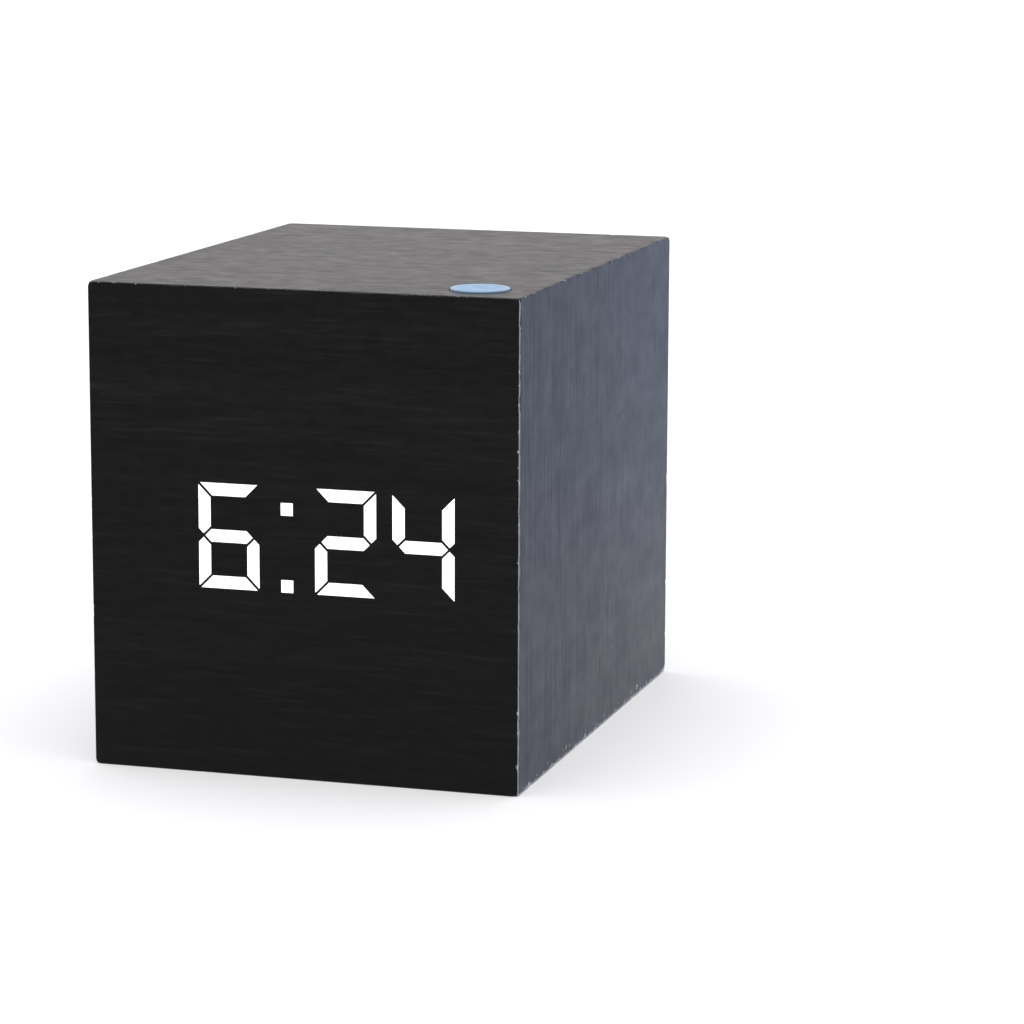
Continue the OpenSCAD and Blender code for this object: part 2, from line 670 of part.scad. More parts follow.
// Round tube of triangles along a path that never runs along the direction across
function unit(v) = v / norm(v);
function ring(p, slope, across, r, sides) = let (t = unit(slope), n = unit(cross(t, across)), b = cross(t, n))
    [for (i = [0:sides - 1]) let (a = 360 * i / sides) p + r * (cos(a) * n + sin(a) * b)];
module tube(path, slopes, across, r, sides) {
    last = len(path) - 1;
    skin = [for (i = [0:last], p = ring(path[i], slopes[i], across, r, sides)) p];
    walls = [
        for (i = [0:last - 1], j = [0:sides - 1]) let (a = i * sides + j, b = i * sides + (j + 1) % sides)
            each [[a, a + sides, b], [b, a + sides, b + sides]]
    ];
    foot = [for (j = [1:sides - 2]) [0, j, j + 1]];
    tip = last * sides;
    head = [for (j = [1:sides - 2]) [tip, tip + j + 1, tip + j]];
    polyhedron(skin, concat(walls, foot, head));
}

// Conical contact springs, wound along +Y from a plate to the flat end of a cell
spring_turns = 2.5;
spring_steps = 12;
spring_r0 = 3.5;
spring_r1 = 1.9;
spring_touch = 0.02;
spring_y0 = spring_wire / 2 + spring_touch;
function spring_point(a) = let (u = a / spring_turns, r = spring_r0 + (spring_r1 - spring_r0) * u)
    [r * sin(360 * a), spring_y0 + (spring_l - 2 * spring_y0) * u, r * cos(360 * a)];
spring_turn = [for (i = [0:spring_turns * spring_steps]) i / spring_steps];
spring_path = [for (a = spring_turn) spring_point(a)];
spring_slopes = [for (a = spring_turn) spring_point(a + 0.01) - spring_point(a - 0.01)];
spring_last = len(spring_path) - 1;
spring_least = min([
    for (i = [0:spring_last], j = [i + spring_steps / 2:1:spring_last]) norm(spring_path[i] - spring_path[j])
]);
echo(contact_spring_least_gap = spring_least - spring_wire);

module contact_spring() color("gainsboro") tube(spring_path, spring_slopes, [0, 1, 0], spring_wire / 2, 6);
module bay_spring() translate([cell_x[1], bay_y0 + plate_t, cell_z]) contact_spring();
module door_spring() translate([cell_x[0], door_y0 - plate_t, cell_z]) rotate(180) contact_spring();

// Wires and the ribbon follow a cubic curve that leaves both ends square
function curve(p, t) = let (u = 1 - t)
    u * u * u * p[0] + 3 * t * u * u * p[1] + 3 * t * t * u * p[2] + t * t * t * p[3];
function curve_slope(p, t) = let (u = 1 - t)
    u * u * (p[1] - p[0]) + 2 * t * u * (p[2] - p[1]) + t * t * (p[3] - p[2]);
steps_01 = [for (i = [0:wire_steps]) i / wire_steps];

module wire(p) tube(
    [for (t = steps_01) curve(p, t)], [for (t = steps_01) curve_slope(p, t)],
    [1, 0, 0], wire_d / 2, wire_sides
);

// Lead from a contact's tab to a pad on the control board
module lead(x, pad_x) {
    from = [x, bay_y0 + plate_t / 2, bay_z1 + bay_wall + tab_rise];
    to = [pad_x, control_y0, control_z0 + pad_in];
    wire([from, from + [0, 0, lead_bend], to + [0, -lead_reach, 0], to]);
}
module positive_lead() color("firebrick") lead(cell_x[0], control_x0 + 2 * pad_in);
module negative_lead() color("#222222") lead(cell_x[1], control_x1 - 2 * pad_in);

ribbon_path = [
    [control_y0 - plug_in, control_socket_z], [control_y0 - ribbon_reach, control_socket_z],
    [board_y1 + ribbon_reach, display_socket_z], [board_y1 + plug_in, display_socket_z]
];
function ribbon_side(t, s) = let (d = unit(curve_slope(ribbon_path, t)))
    curve(ribbon_path, t) + s * ribbon_t / 2 * [-d[1], d[0]];
module ribbon_cable() color("gray") along_x(ribbon_x - ribbon_w / 2, ribbon_x + ribbon_w / 2)
    polygon(concat([for (t = steps_01) ribbon_side(t, 1)], [for (t = steps_01) ribbon_side(1 - t, -1)]));

// Snooze button on top: cap and stem, its clip under the panel, its switch and board
module at_snooze() translate([snooze_x, snooze_y, 0]) children();

module snooze_cap() color("#a8c5e0") at_snooze() rotate_extrude() polygon([
    [0, stem_z0], [stem_d / 2, stem_z0], [stem_d / 2, snooze_z0], [snooze_d / 2, snooze_z0],
    [snooze_d / 2, snooze_z1 - 0.1], [snooze_d / 2 - 0.1, snooze_z1], [0, snooze_z1]
]);
module snooze_clip() color("silver") at_snooze() difference() {
    rod_z(clip_d, in_z1 - clip_t, in_z1);
    rod_z(stem_d + 2 * pilot_fit, in_z1 - clip_t - 1, in_z1 + 1);
}
module on_snooze_board() at_snooze() translate([0, 0, snooze_board_z1]) children();
module snooze_switch_body() color("#2b2b2b") on_snooze_board() switch_body();
module snooze_switch_plunger() color("dimgray") on_snooze_board() switch_plunger();
module snooze_board() color("darkgreen") at_snooze() difference() {
    along_z(snooze_board_z0, snooze_board_z1) rect(snooze_board_lo, snooze_board_hi);
    for (p = snooze_post_at) translate(p) rod_z(through_d, snooze_board_z0 - 1, snooze_board_z1 + 1);
}
module snooze_spacers() color("ivory") at_snooze() for (p = snooze_post_at) translate(p) difference() {
    rod_z(spacer_d, snooze_board_z1, in_z1);
    rod_z(through_d, snooze_board_z1 - 1, in_z1 + 1);
}
module snooze_screws() color("silver") at_snooze() for (p = snooze_post_at)
    translate([p[0], p[1], snooze_board_z0]) mirror([0, 0, 1]) screw(in_z1 - snooze_board_z0 + bite);
module snooze_leads() color("gray") for (i = [0, 1]) {
    from = [snooze_x - 8 + 2 * i, snooze_y + 6, snooze_board_z0];
    to = [board_x1 - 8.6 + 2 * i, board_y1, board_z1 - 1.5];
    wire([from, from + [0, 0, -5], to + [0, 5, 0], to]);
}

front_panel();
front_film();
top_panel();
bottom_panel();
left_panel();
right_panel();
corner_blocks();
back_cover();
back_cover_screws();
battery_door();
display_reflector();
leading_one();
hour_digit();
colon_dots();
tens_digit();
units_digit();
segment_leds();
display_board();
display_screws();
microcontroller();
quartz_crystal();
buzzer();
smoothing_capacitor();
display_ribbon_socket();
control_board();
control_board_screws();
control_ribbon_socket();
ribbon_cable();
rear_switch_bodies();
usb_socket_shell();
usb_socket_tongue();
set_button();
up_button();
down_button();
set_switch_plunger();
up_switch_plunger();
down_switch_plunger();
left_cell();
right_cell();
cell_contacts();
bay_spring();
door_contact();
door_spring();
positive_lead();
negative_lead();
snooze_cap();
snooze_clip();
snooze_switch_plunger();
snooze_switch_body();
snooze_board();
snooze_spacers();
snooze_screws();
snooze_leads();
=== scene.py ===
import math

import bmesh
import bpy
import numpy as np
from mathutils import Matrix, Vector, noise


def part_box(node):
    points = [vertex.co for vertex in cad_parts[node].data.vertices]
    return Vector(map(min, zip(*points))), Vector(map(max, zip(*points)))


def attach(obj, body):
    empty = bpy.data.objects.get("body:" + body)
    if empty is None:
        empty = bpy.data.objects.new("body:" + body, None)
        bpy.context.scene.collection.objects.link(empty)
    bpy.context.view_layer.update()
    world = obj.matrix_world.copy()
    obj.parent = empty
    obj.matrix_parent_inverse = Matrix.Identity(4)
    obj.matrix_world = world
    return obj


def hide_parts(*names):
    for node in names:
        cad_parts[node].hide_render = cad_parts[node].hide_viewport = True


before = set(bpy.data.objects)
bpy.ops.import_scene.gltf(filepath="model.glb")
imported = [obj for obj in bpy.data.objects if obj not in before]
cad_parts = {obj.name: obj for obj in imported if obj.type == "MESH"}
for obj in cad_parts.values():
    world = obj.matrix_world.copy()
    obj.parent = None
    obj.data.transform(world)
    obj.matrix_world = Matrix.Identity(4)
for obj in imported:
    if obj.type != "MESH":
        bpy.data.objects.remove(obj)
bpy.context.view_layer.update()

# Case panels: four fibreboard boards under black wood-grain film, mitred along their long edges
# and at the front, and glued up into a sleeve. The film is thin where it turns over an arris, so
# handling has rubbed it pale there and knocked small chips out of it.

MM = 0.001
PANEL_T = 4.0
ARRIS_R, ARRIS_STEPS, LINE_STEP, EDGE_ZONE = 0.24, 3, 0.4, 1.0
MITRE, SQUARE = 45, 90
out_x, front_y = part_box("right_panel")[1].x / MM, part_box("front_film")[0].y / MM
rear_y, case_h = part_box("top_panel")[1].y / MM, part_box("top_panel")[1].z / MM


class Socket:
    """A socket of a node tree. Arithmetic on it adds Math nodes, and node() adds any other node."""

    def __init__(self, tree, socket=None):
        self.tree, self.socket = tree, socket

    def feed(self, node, sockets):
        for key, value in sockets.items():
            for part in value if isinstance(value, list) else [value]:
                if isinstance(part, Socket):
                    self.tree.links.new(part.socket, node.inputs[key])
                else:
                    node.inputs[key].default_value = part

    def node(self, kind, settings=None, sockets=None, out=0):
        node = self.tree.nodes.new(kind)
        for key, value in (settings or {}).items():
            setattr(node, key, value)
        self.feed(node, sockets or {})
        return Socket(self.tree, node.outputs[out])

    def math(self, operation, *rest):
        return self.node("ShaderNodeMath", {"operation": operation}, dict(enumerate((self, *rest))))

    def __add__(self, other):
        return self.math("ADD", other)

    def __sub__(self, other):
        return self.math("SUBTRACT", other)

    def __rsub__(self, other):
        return self.node("ShaderNodeMath", {"operation": "SUBTRACT"}, {0: other, 1: self})

    def __mul__(self, other):
        return self.math("MULTIPLY", other)

    def __truediv__(self, other):
        return self.math("DIVIDE", other)

    __radd__ = __add__

    def step(self, low, high):
        """0 below low and 1 above high, with a soft run between them."""
        sockets = {0: self, 1: low, 2: high}
        return self.node("ShaderNodeMapRange", {"interpolation_type": "SMOOTHSTEP"}, sockets)

    def mix(self, first, second):
        """From the first colour to the second by this value."""
        return self.node("ShaderNodeMix", {"data_type": "RGBA"}, {0: self, 6: first, 7: second}, 2)

    def stretched(self, scale):
        return self.node("ShaderNodeVectorMath", {"operation": "MULTIPLY"}, {0: self, 1: scale})

    def noise(self, scale, detail=2.0, rough=0.5):
        """Soft noise on this vector, in lumps of about 1 / scale."""
        sockets = {"Vector": self, "Scale": scale, "Detail": detail, "Roughness": rough}
        return self.node("ShaderNodeTexNoise", None, sockets)

    def axes(self):
        split = self.node("ShaderNodeSeparateXYZ", None, {0: self}).socket.node
        return [Socket(self.tree, out) for out in split.outputs]


def tone(red, green, blue):
    """Colour of a paint chip read as screen values, as the shader wants it."""
    shares = (red / 255, green / 255, blue / 255)
    return (*(c / 12.92 if c <= 0.04045 else ((c + 0.055) / 1.055) ** 2.4 for c in shares), 1.0)


def new_finish(name, **fixed):
    """A material, its place in mm and a call that feeds its shader. Fixed values stay on their sockets."""
    finish = bpy.data.materials.new(name)
    finish.use_nodes = True
    shader = finish.node_tree.nodes["Principled BSDF"]
    for key, value in fixed.items():
        shader.inputs[key.replace("_", " ")].default_value = value
    root = Socket(finish.node_tree)
    metres = root.node("ShaderNodeTexCoord", out="Object")
    place = root.node("ShaderNodeVectorMath", {"operation": "SCALE"}, {0: metres, "Scale": 1 / MM})

    def lay(height=None, depth=0.0, **varied):
        if height is not None:
            bump = {"Height": height, "Distance": depth * MM, "Strength": 1.0}
            varied["Normal"] = root.node("ShaderNodeBump", None, bump)
        root.feed(shader, {key.replace("_", " "): value for key, value in varied.items()})

    return finish, place, lay


FILM_DARK, FILM_PALE, FILM_HAIR = tone(4, 3, 5), tone(20, 19, 21), tone(24, 24, 27)
FIGURE, STREAK, PORE = (0.22, 3.0), (1.5, 5.0, 0.62), (1.3, 2.0, 0.5)
CLOUD, HAIR, PATCH_ROUGH = (0.85, 5.0, 0.66), (1.6, 3.0, 0.5), 0.6
PORE_DRAW, CLOUD_DRAW, HAIR_DRAW, SPECK_DRAW = 0.11, 0.42, 0.07, 0.35
WORN, RUBBED, BITTEN, WEAR_EDGE = tone(204, 208, 214), 0.42, 0.75, (-0.05, 0.10)
SPECKS_PER_MM, SPECK_SIZE = 0.24, (0.014, 0.034)
KNOCKED_HIGH, KNOCKED_SLOPE, KNOCKED_RAGGED = 1.2, 0.45, 2.0


def wood_film(name, grain, arrises, rough, relief=0.006, fine=0.045, sheer=0.24, lump=(1.0, 1.0, 2.0),
              patchy=0.0, calm=None, polish=0.0, specks=False, **fixed):
    """Film with its figure along one axis. An arris is (axis, way, place, rubbed width, chip width) in mm.

    Relief is the figure's depth in mm, fine how far it is drawn out, and sheer how much the gloss shows it.
    Lump is the patches in a mm, across and along the grain, with their detail, and patchy is how much they
    show. Calm is how the figure fades: an axis, two places on it, and the share that is gone by the second.
    Polish is how much smoother the film is at the rear. Specks are pale spots and a knocked rear corner.
    """
    film, place, lay = new_finish(name, **{"Specular_IOR_Level": 0.13} | fixed)
    xyz = dict(zip("xyz", place.axes()))

    def drawn(share):
        return place.stretched(tuple(share if axis == grain else 1.0 for axis in "xyz"))

    figure, streak = drawn(fine).noise(*FIGURE), drawn(fine).noise(*STREAK)
    pore = drawn(PORE_DRAW).noise(*PORE).step(0.60, 0.72)
    cloud, hair = drawn(CLOUD_DRAW).noise(*CLOUD), drawn(HAIR_DRAW).noise(*HAIR).step(0.50, 0.85)
    patch = drawn(lump[1] / lump[0]).noise(lump[0], lump[2], PATCH_ROUGH)
    live = 1.0
    if calm:
        axis, start, end, share = calm
        live = 1.0 - xyz[axis].step(start, end) * share
    if polish:
        rough = rough - xyz["y"].step(front_y, rear_y) * polish
    rub, knock = place.noise(0.5, 3.0, 0.6), place.noise(1.1, 4.0, 0.65)
    wear = []
    for axis, way, limit, rubbed, chipped in arrises:
        gap = (limit - xyz[axis] * way).math("ABSOLUTE")
        wear.append(((rub * 2.4 - 0.2) * rubbed - gap).step(*WEAR_EDGE) * RUBBED)
        wear.append((knock.step(0.53, 0.80) * chipped - gap).step(*WEAR_EDGE) * BITTEN)
    if specks:
        spot = place.node("ShaderNodeTexVoronoi", None, {"Vector": drawn(SPECK_DRAW), "Scale": SPECKS_PER_MM})
        wear.append((1.0 - spot.step(*SPECK_SIZE)) * RUBBED)
        reach = (xyz["y"] - rear_y) * KNOCKED_SLOPE - xyz["z"] + KNOCKED_HIGH
        wear.append((reach + (knock - 0.5) * KNOCKED_RAGGED).step(*WEAR_EDGE))
    worn = wear[0]
    for other in wear[1:]:
        worn = worn.math("MAXIMUM", other)
    level = ((streak - 0.5) * 0.9 + (cloud - 0.5) * 1.4 + (figure - 0.5) * 0.8 - pore * 0.25) * live + 0.34
    colour = (hair * live).mix(level.step(0.0, 1.0).mix(FILM_DARK, FILM_PALE), FILM_HAIR)
    lay(
        Base_Color=worn.mix(colour, WORN),
        Roughness=rough + (streak - 0.5) * live * sheer + (patch - 0.5) * patchy + pore * 0.08 + worn * 0.25,
        height=(streak * 0.7 + figure * 0.5 - pore * 0.5) * live,
        depth=relief,
    )
    return film


HANDLED, SPARED = 0.22, 0.50
CHIP_GAIN, CHIP_LIMIT, CHIP_REACH, CORNER_WEAR, CORNER_REACH = 0.35, 0.13, 0.5, 0.36, 0.6


def chip_depth(place):
    """How far a point of an arris is knocked in, in mm.

    It depends on the place alone, so mitres still meet.
    """
    gaps = sorted((out_x - abs(place.x), place.y - front_y, rear_y - place.y, place.z, case_h - place.z))
    near_right = place.x > out_x - 1 and place.y < rear_y - 1
    near_top = place.z > case_h - 1 and place.y < front_y + 1
    rough = noise.noise(place * 0.55) + 0.6 * noise.noise(place * 1.9)
    knock = max(0.0, rough - (HANDLED if near_right or near_top else SPARED))
    corner = CORNER_WEAR * max(0.0, 1.0 - gaps[2] / CORNER_REACH) ** 2
    return corner + min(CHIP_LIMIT, CHIP_GAIN * knock) * max(0.0, 1.0 - gaps[1] / CHIP_REACH)


def close_shell(name, places, faces):
    """A closed mesh in metres from places in mm, with its faces outwards."""
    mesh = bpy.data.meshes.new(name)
    mesh.from_pydata([Vector(place) * MM for place in places], [], faces)
    shell = bmesh.new()
    shell.from_mesh(mesh)
    bmesh.ops.recalc_face_normals(shell, faces=shell.faces)
    shell.to_mesh(mesh)
    shell.free()
    return mesh


def fit(name, mesh, finish, body, slot, *nodes, sharp=35, broad=None):
    """The mesh as a piece of the object: its finish, the body it moves with and the nodes it stands for.

    A face over the broad area, in square mm, is shaded flat to its own edges.
    """
    mesh.materials.clear()
    mesh.materials.append(finish)
    mesh.shade_smooth()
    mesh.set_sharp_from_angle(angle=math.radians(sharp))
    for face in mesh.polygons:
        if broad and face.area > broad * MM ** 2:
            for corner in face.loop_indices:
                mesh.edges[mesh.loops[corner].edge_index].use_edge_sharp = True
    piece = bpy.data.objects.new(name, mesh)
    bpy.context.scene.collection.objects.link(piece)
    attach(piece, body)
    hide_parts(*nodes)
    return piece


def final_mesh(piece):
    """The piece's mesh with its modifiers worked in; the piece itself is removed."""
    graph = bpy.context.evaluated_depsgraph_get()
    mesh = bpy.data.meshes.new_from_object(piece.evaluated_get(graph), depsgraph=graph)
    bpy.data.objects.remove(piece)
    return mesh


def cut(mesh, cutter):
    """The mesh less the cutter."""
    pair = [bpy.data.objects.new(part.name, part) for part in (mesh, cutter)]
    for part in pair:
        bpy.context.scene.collection.objects.link(part)
    saw = pair[0].modifiers.new("saw", "BOOLEAN")
    saw.object, saw.operation, saw.solver = pair[1], "DIFFERENCE", "EXACT"
    result = final_mesh(pair[0])
    bpy.data.objects.remove(pair[1])
    return result


def face_lines(low, high, turn_low, turn_high):
    """Lines across a face: where each leaves the flat, and how far the film has turned there."""
    low, high = low + ARRIS_R, high - ARRIS_R
    flat = np.linspace(low, high, round((high - low) / LINE_STEP) + 1)
    share = np.linspace(0, 1, ARRIS_STEPS + 1)[1:]
    places = np.concatenate((np.full(ARRIS_STEPS, low), flat, np.full(ARRIS_STEPS, high)))
    turns = np.concatenate((-turn_low * share[::-1], 0 * flat, turn_high * share))
    return places, np.radians(turns)


def filmed_board(name, across, along, out, span, run, level, thick, far_turn):
    """A board with film round its arrises, mitred on three sides and cut square or mitred on the far one."""
    across, along, out = (np.array(axis, float) for axis in (across, along, out))
    u, lean = face_lines(*span, MITRE, MITRE)
    w, tip = face_lines(*run, MITRE, far_turn)
    lean, tip = lean[:, None, None], tip[None, :, None]
    facing = np.sin(tip) * along + np.cos(tip) * (out + np.tan(lean) * across)
    facing /= np.linalg.norm(facing, axis=2, keepdims=True)
    grid = u[:, None, None] * across + w[None, :, None] * along + (level - ARRIS_R) * out + ARRIS_R * facing
    edge = np.minimum(u - span[0], span[1] - u)[:, None] < EDGE_ZONE
    edge = edge | (np.minimum(w - run[0], run[1] - w)[None, :] < EDGE_ZONE)
    for i, j in zip(*np.nonzero(edge)):
        grid[i, j] -= chip_depth(Vector(grid[i, j])) * facing[i, j]
    rows, columns = len(u), len(w)
    around = [(i, 0) for i in range(rows)] + [(rows - 1, j) for j in range(1, columns)]
    around += [(i, columns - 1) for i in range(rows - 2, -1, -1)]
    around += [(0, j) for j in range(columns - 2, 0, -1)]
    far = thick if far_turn == MITRE else 0
    u_ends, w_ends = (span[0] + thick, span[1] - thick), (run[0] + thick, run[1] - far)
    u[0], u[-1], w[0], w[-1] = *u_ends, *w_ends
    inner = [
        np.clip(u[i], *u_ends) * across + np.clip(w[j], *w_ends) * along + (level - thick) * out
        for i, j in around
    ]
    places = np.round(np.concatenate((grid.reshape(-1, 3), inner)), 5)
    places, index = np.unique(places, axis=0, return_inverse=True)
    index = index.ravel()
    skin, lip = index[:rows * columns].reshape(rows, columns), index[rows * columns:]
    faces = [
        (skin[i, j], skin[i + 1, j], skin[i + 1, j + 1], skin[i, j + 1])
        for i in range(rows - 1) for j in range(columns - 1)
    ]
    for k, here in enumerate(around):
        faces.append((skin[here], skin[around[k - 1]], lip[k - 1], lip[k]))
    faces = [list(dict.fromkeys(int(k) for k in face)) for face in (*faces, lip)]
    return close_shell(name, places, [face for face in faces if len(face) > 2])


def lathe(name, profile, centre, axis, sides=64):
    """A turned shell. The profile is (radius, place along the axis) in mm, from pole to pole."""
    axis = Vector(axis)
    first = axis.orthogonal().normalized()
    second = axis.cross(first)
    places, rows, faces = [], [], []
    for radius, along in profile:
        start = len(places)
        count = sides if radius > 0 else 1
        for k in range(count):
            turn = 2 * math.pi * k / sides
            ray = first * math.cos(turn) + second * math.sin(turn)
            places.append(Vector(centre) + axis * along + ray * radius)
        rows.append([start + k % count for k in range(sides + 1)])
    for low, high in zip(rows, rows[1:]):
        for k in range(sides):
            face = list(dict.fromkeys((low[k], low[k + 1], high[k + 1], high[k])))
            if len(face) > 2:
                faces.append(face)
    return close_shell(name, places, faces)


ALONG_X, ALONG_Y, ALONG_Z = (1, 0, 0), (0, 1, 0), (0, 0, 1)
sides_x, depth_y, heights_z = (-out_x, out_x), (front_y, rear_y), (0.0, case_h)
# Painted reflection: the side films' sheen is tinted blue, more on the right than on the left, standing in
# for bluish light; the top and front films have none.
SIDE_FILM = {
    "relief": 0.011, "fine": 0.03, "sheer": 0.42, "lump": (0.18, 0.28, 3.0), "patchy": 0.23,
    "Specular_IOR_Level": 0.15, "Sheen_Roughness": 0.5, "Sheen_Tint": (0.40, 0.52, 1.0, 1.0),
}
right_film = wood_film("wood_film_right", "z", [
    ("y", -1, -front_y, 0.40, 1.0), ("z", 1, case_h, 0.03, 0.38), ("z", -1, 0.0, 0.45, 3.2),
], 0.43, calm=("y", front_y, rear_y, 0.7), polish=0.055, specks=True, Sheen_Weight=0.13, **SIDE_FILM)
left_film = wood_film("wood_film_left", "z", [
    ("y", -1, -front_y, 0.08, 0.5), ("z", 1, case_h, 0.05, 0.4), ("z", -1, 0.0, 0.08, 0.5),
], 0.43, Sheen_Weight=0.08, **SIDE_FILM)
lid_film = wood_film("wood_film_top", "x", [
    ("x", 1, out_x, 0.03, 0.32), ("x", -1, out_x, 0.03, 0.3), ("y", -1, -front_y, 0.05, 0.4),
], 0.33, relief=0.005, fine=0.14, sheer=0.05, lump=(0.42, 0.33, 2.5), patchy=0.21)

snooze_lo, snooze_hi = (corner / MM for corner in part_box("snooze_cap"))
snooze_at = ((snooze_lo.x + snooze_hi.x) / 2, (snooze_lo.y + snooze_hi.y) / 2, 0)
SNOOZE_HOLE_R, SNOOZE_SEAT, STEM_HOLE_R, MOUTH = 4.1, 63.7, 1.65, 0.06
snooze_hole = lathe("snooze_hole", [
    (0, case_h - PANEL_T - 1), (STEM_HOLE_R, case_h - PANEL_T - 1), (STEM_HOLE_R, SNOOZE_SEAT),
    (SNOOZE_HOLE_R, SNOOZE_SEAT), (SNOOZE_HOLE_R, case_h - MOUTH), (SNOOZE_HOLE_R + MOUTH, case_h),
    (SNOOZE_HOLE_R + MOUTH, case_h + 1), (0, case_h + 1),
], snooze_at, ALONG_Z, 96)
top_board = filmed_board("top", ALONG_X, ALONG_Y, ALONG_Z, sides_x, depth_y, case_h, PANEL_T, SQUARE)
bottom_board = filmed_board("bottom", ALONG_X, ALONG_Y, (0, 0, -1), sides_x, depth_y, 0.0, PANEL_T, SQUARE)
right_board = filmed_board("right", ALONG_Z, ALONG_Y, ALONG_X, heights_z, depth_y, out_x, PANEL_T, SQUARE)
left_board = filmed_board("left", ALONG_Z, ALONG_Y, (-1, 0, 0), heights_z, depth_y, out_x, PANEL_T, SQUARE)
fit("top_board", cut(top_board, snooze_hole), lid_film, "case", "wood_film", "top_panel")
fit("bottom_board", bottom_board, lid_film, "case", "wood_film", "bottom_panel")
fit("right_board", right_board, right_film, "case", "wood_film", "right_panel")
fit("left_board", left_board, left_film, "case", "wood_film", "left_panel")

# Front: a fibreboard panel glued into the sleeve, faced with the same film. The film is cut through
# in front of the lit segments, so that the diffusers come up flush in it.

FILM_T, WINDOW_GAP = 0.3, 0.05
DIGIT_W, DIGIT_H, DIGIT_Z = 8.5, 14.2, 25.5
SEGMENT_T, SEGMENT_GAP, SEGMENT_JOINT = 1.65, 0.4, 0.65
LIT_FIGURES = ((-14.5, "acdefg"), (1.9, "abdeg"), (12.7, "bcfg"))
COLON_X, DOT_S, DOTS_Z = -2.05, 1.65, (26.3, 36.7)


def segment(name, grow):
    """Outline of one segment from its figure's lower left corner, grown on every side."""
    w, h, t, j = DIGIT_W + 2 * grow, DIGIT_H + 2 * grow, SEGMENT_T + 2 * grow, SEGMENT_JOINT + grow
    k = (SEGMENT_GAP - 2 * grow) / math.sqrt(2)
    m, e, f = h / 2, j + k, j + k + t / 2
    if name in "ad":
        shape = [(k, h), (w - k, h), (w - t - k, h - t), (t + k, h - t)]
    elif name == "g":
        shape = [(e, m), (f, m + t / 2), (w - f, m + t / 2), (w - e, m), (w - f, m - t / 2), (f, m - t / 2)]
    else:
        shape = [(0, h - k), (t, h - t - k), (t, m + t - j + k), (j, m + k), (0, m + j + k)]
    return [((w - x if name in "bc" else x) - grow, (h - z if name in "cde" else z) - grow) for x, z in shape]


def prisms(name, outlines, y0, y1):
    """Closed prisms along Y from outlines in X and Z."""
    places, faces = [], []
    for outline in outlines:
        a, n = len(places), len(outline)
        places += [(x, y, z) for y in (y0, y1) for x, z in outline]
        faces += [[a + k for k in range(n)], [a + n + k for k in reversed(range(n))]]
        faces += [[a + k, a + (k + 1) % n, a + n + (k + 1) % n, a + n + k] for k in range(n)]
    return close_shell(name, places, faces)


windows = [
    [(left + x, DIGIT_Z + z) for x, z in segment(name, WINDOW_GAP)]
    for left, lit in LIT_FIGURES for name in lit
]
half_dot = DOT_S / 2 + WINDOW_GAP
dot = [(a * half_dot, b * half_dot) for a, b in ((-1, -1), (1, -1), (1, 1), (-1, 1))]
windows += [[(COLON_X + x, dot_z + z) for x, z in dot] for dot_z in DOTS_Z]
front_film = wood_film("wood_film_front", "x", [
    ("x", 1, out_x, 0.07, 0.45), ("x", -1, out_x, 0.03, 0.2),
    ("z", 1, case_h, 0.04, 0.32), ("z", -1, 0.0, 0.03, 0.2),
], 0.40, calm=("z", case_h, 0.0, 0.35))
facing = filmed_board("facing", ALONG_X, ALONG_Z, (0, -1, 0), sides_x, heights_z, -front_y, FILM_T, MITRE)
facing = cut(facing, prisms("windows", windows, front_y - 1, front_y + 1))
fit("front_facing", facing, front_film, "case", "wood_film", "front_film")


def dress(finish, *nodes):
    """The finish on CAD nodes whose shape stays."""
    for node in nodes:
        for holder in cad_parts[node].material_slots:
            holder.material = finish


fibreboard, place, lay = new_finish("panel_fibre")
fibre = place.stretched((0.3, 1.0, 1.0)).noise(2.4, 5.0, 0.7)
lay(Base_Color=fibre.step(0.3, 0.7).mix(tone(92, 68, 46), tone(150, 118, 84)), Roughness=0.78 + fibre * 0.15,
    height=fibre, depth=0.03)
dress(fibreboard, "front_panel")

# Corner blocks: four short pine blocks glued into the rear corners of the sleeve, drilled for the
# screws of the back cover.

pine, place, lay = new_finish("pine")
rings = place.node("ShaderNodeTexWave", {"bands_direction": "X"}, {
    "Vector": place.stretched((1.0, 0.08, 1.0)), "Scale": 0.35, "Distortion": 3.0, "Detail": 2.0,
    "Detail Scale": 0.8,
}, 1)
fibre = place.stretched((1.0, 0.06, 1.0)).noise(3.0, 4.0)
lay(Base_Color=(rings * 0.7 + fibre * 0.3).mix(tone(214, 176, 124), tone(170, 122, 74)),
    Roughness=0.62 + fibre * 0.2, height=fibre, depth=0.02)
dress(pine, "corner_blocks")

# Display: a white moulded reflector with a well for each segment, standing on the display board
# over its lamps. The board is screwed to the back of the front panel and carries the clock's parts.


def moulded(name, colour, grain=3.0, depth=0.004, rough=0.45, spread=0.12, **fixed):
    """A moulded plastic: slow shifts of colour, and the fine grain of its tool. Grain is lumps in a mm."""
    finish, place, lay = new_finish(name, **fixed)
    drift, texture = place.noise(0.18, 3.0), place.noise(grain, 3.0, 0.6)
    shift = (drift * 0.6 + texture * 0.4).step(0.25, 0.75)
    darker = tuple(c * (1 - spread) for c in colour[:3]) + (1.0,)
    paler = tuple(min(1.0, c * (1 + spread)) for c in colour[:3]) + (1.0,)
    lay(Base_Color=shift.mix(darker, paler), Roughness=rough + (texture - 0.5) * 0.16 + (drift - 0.5) * 0.08,
        height=texture, depth=depth)
    return finish


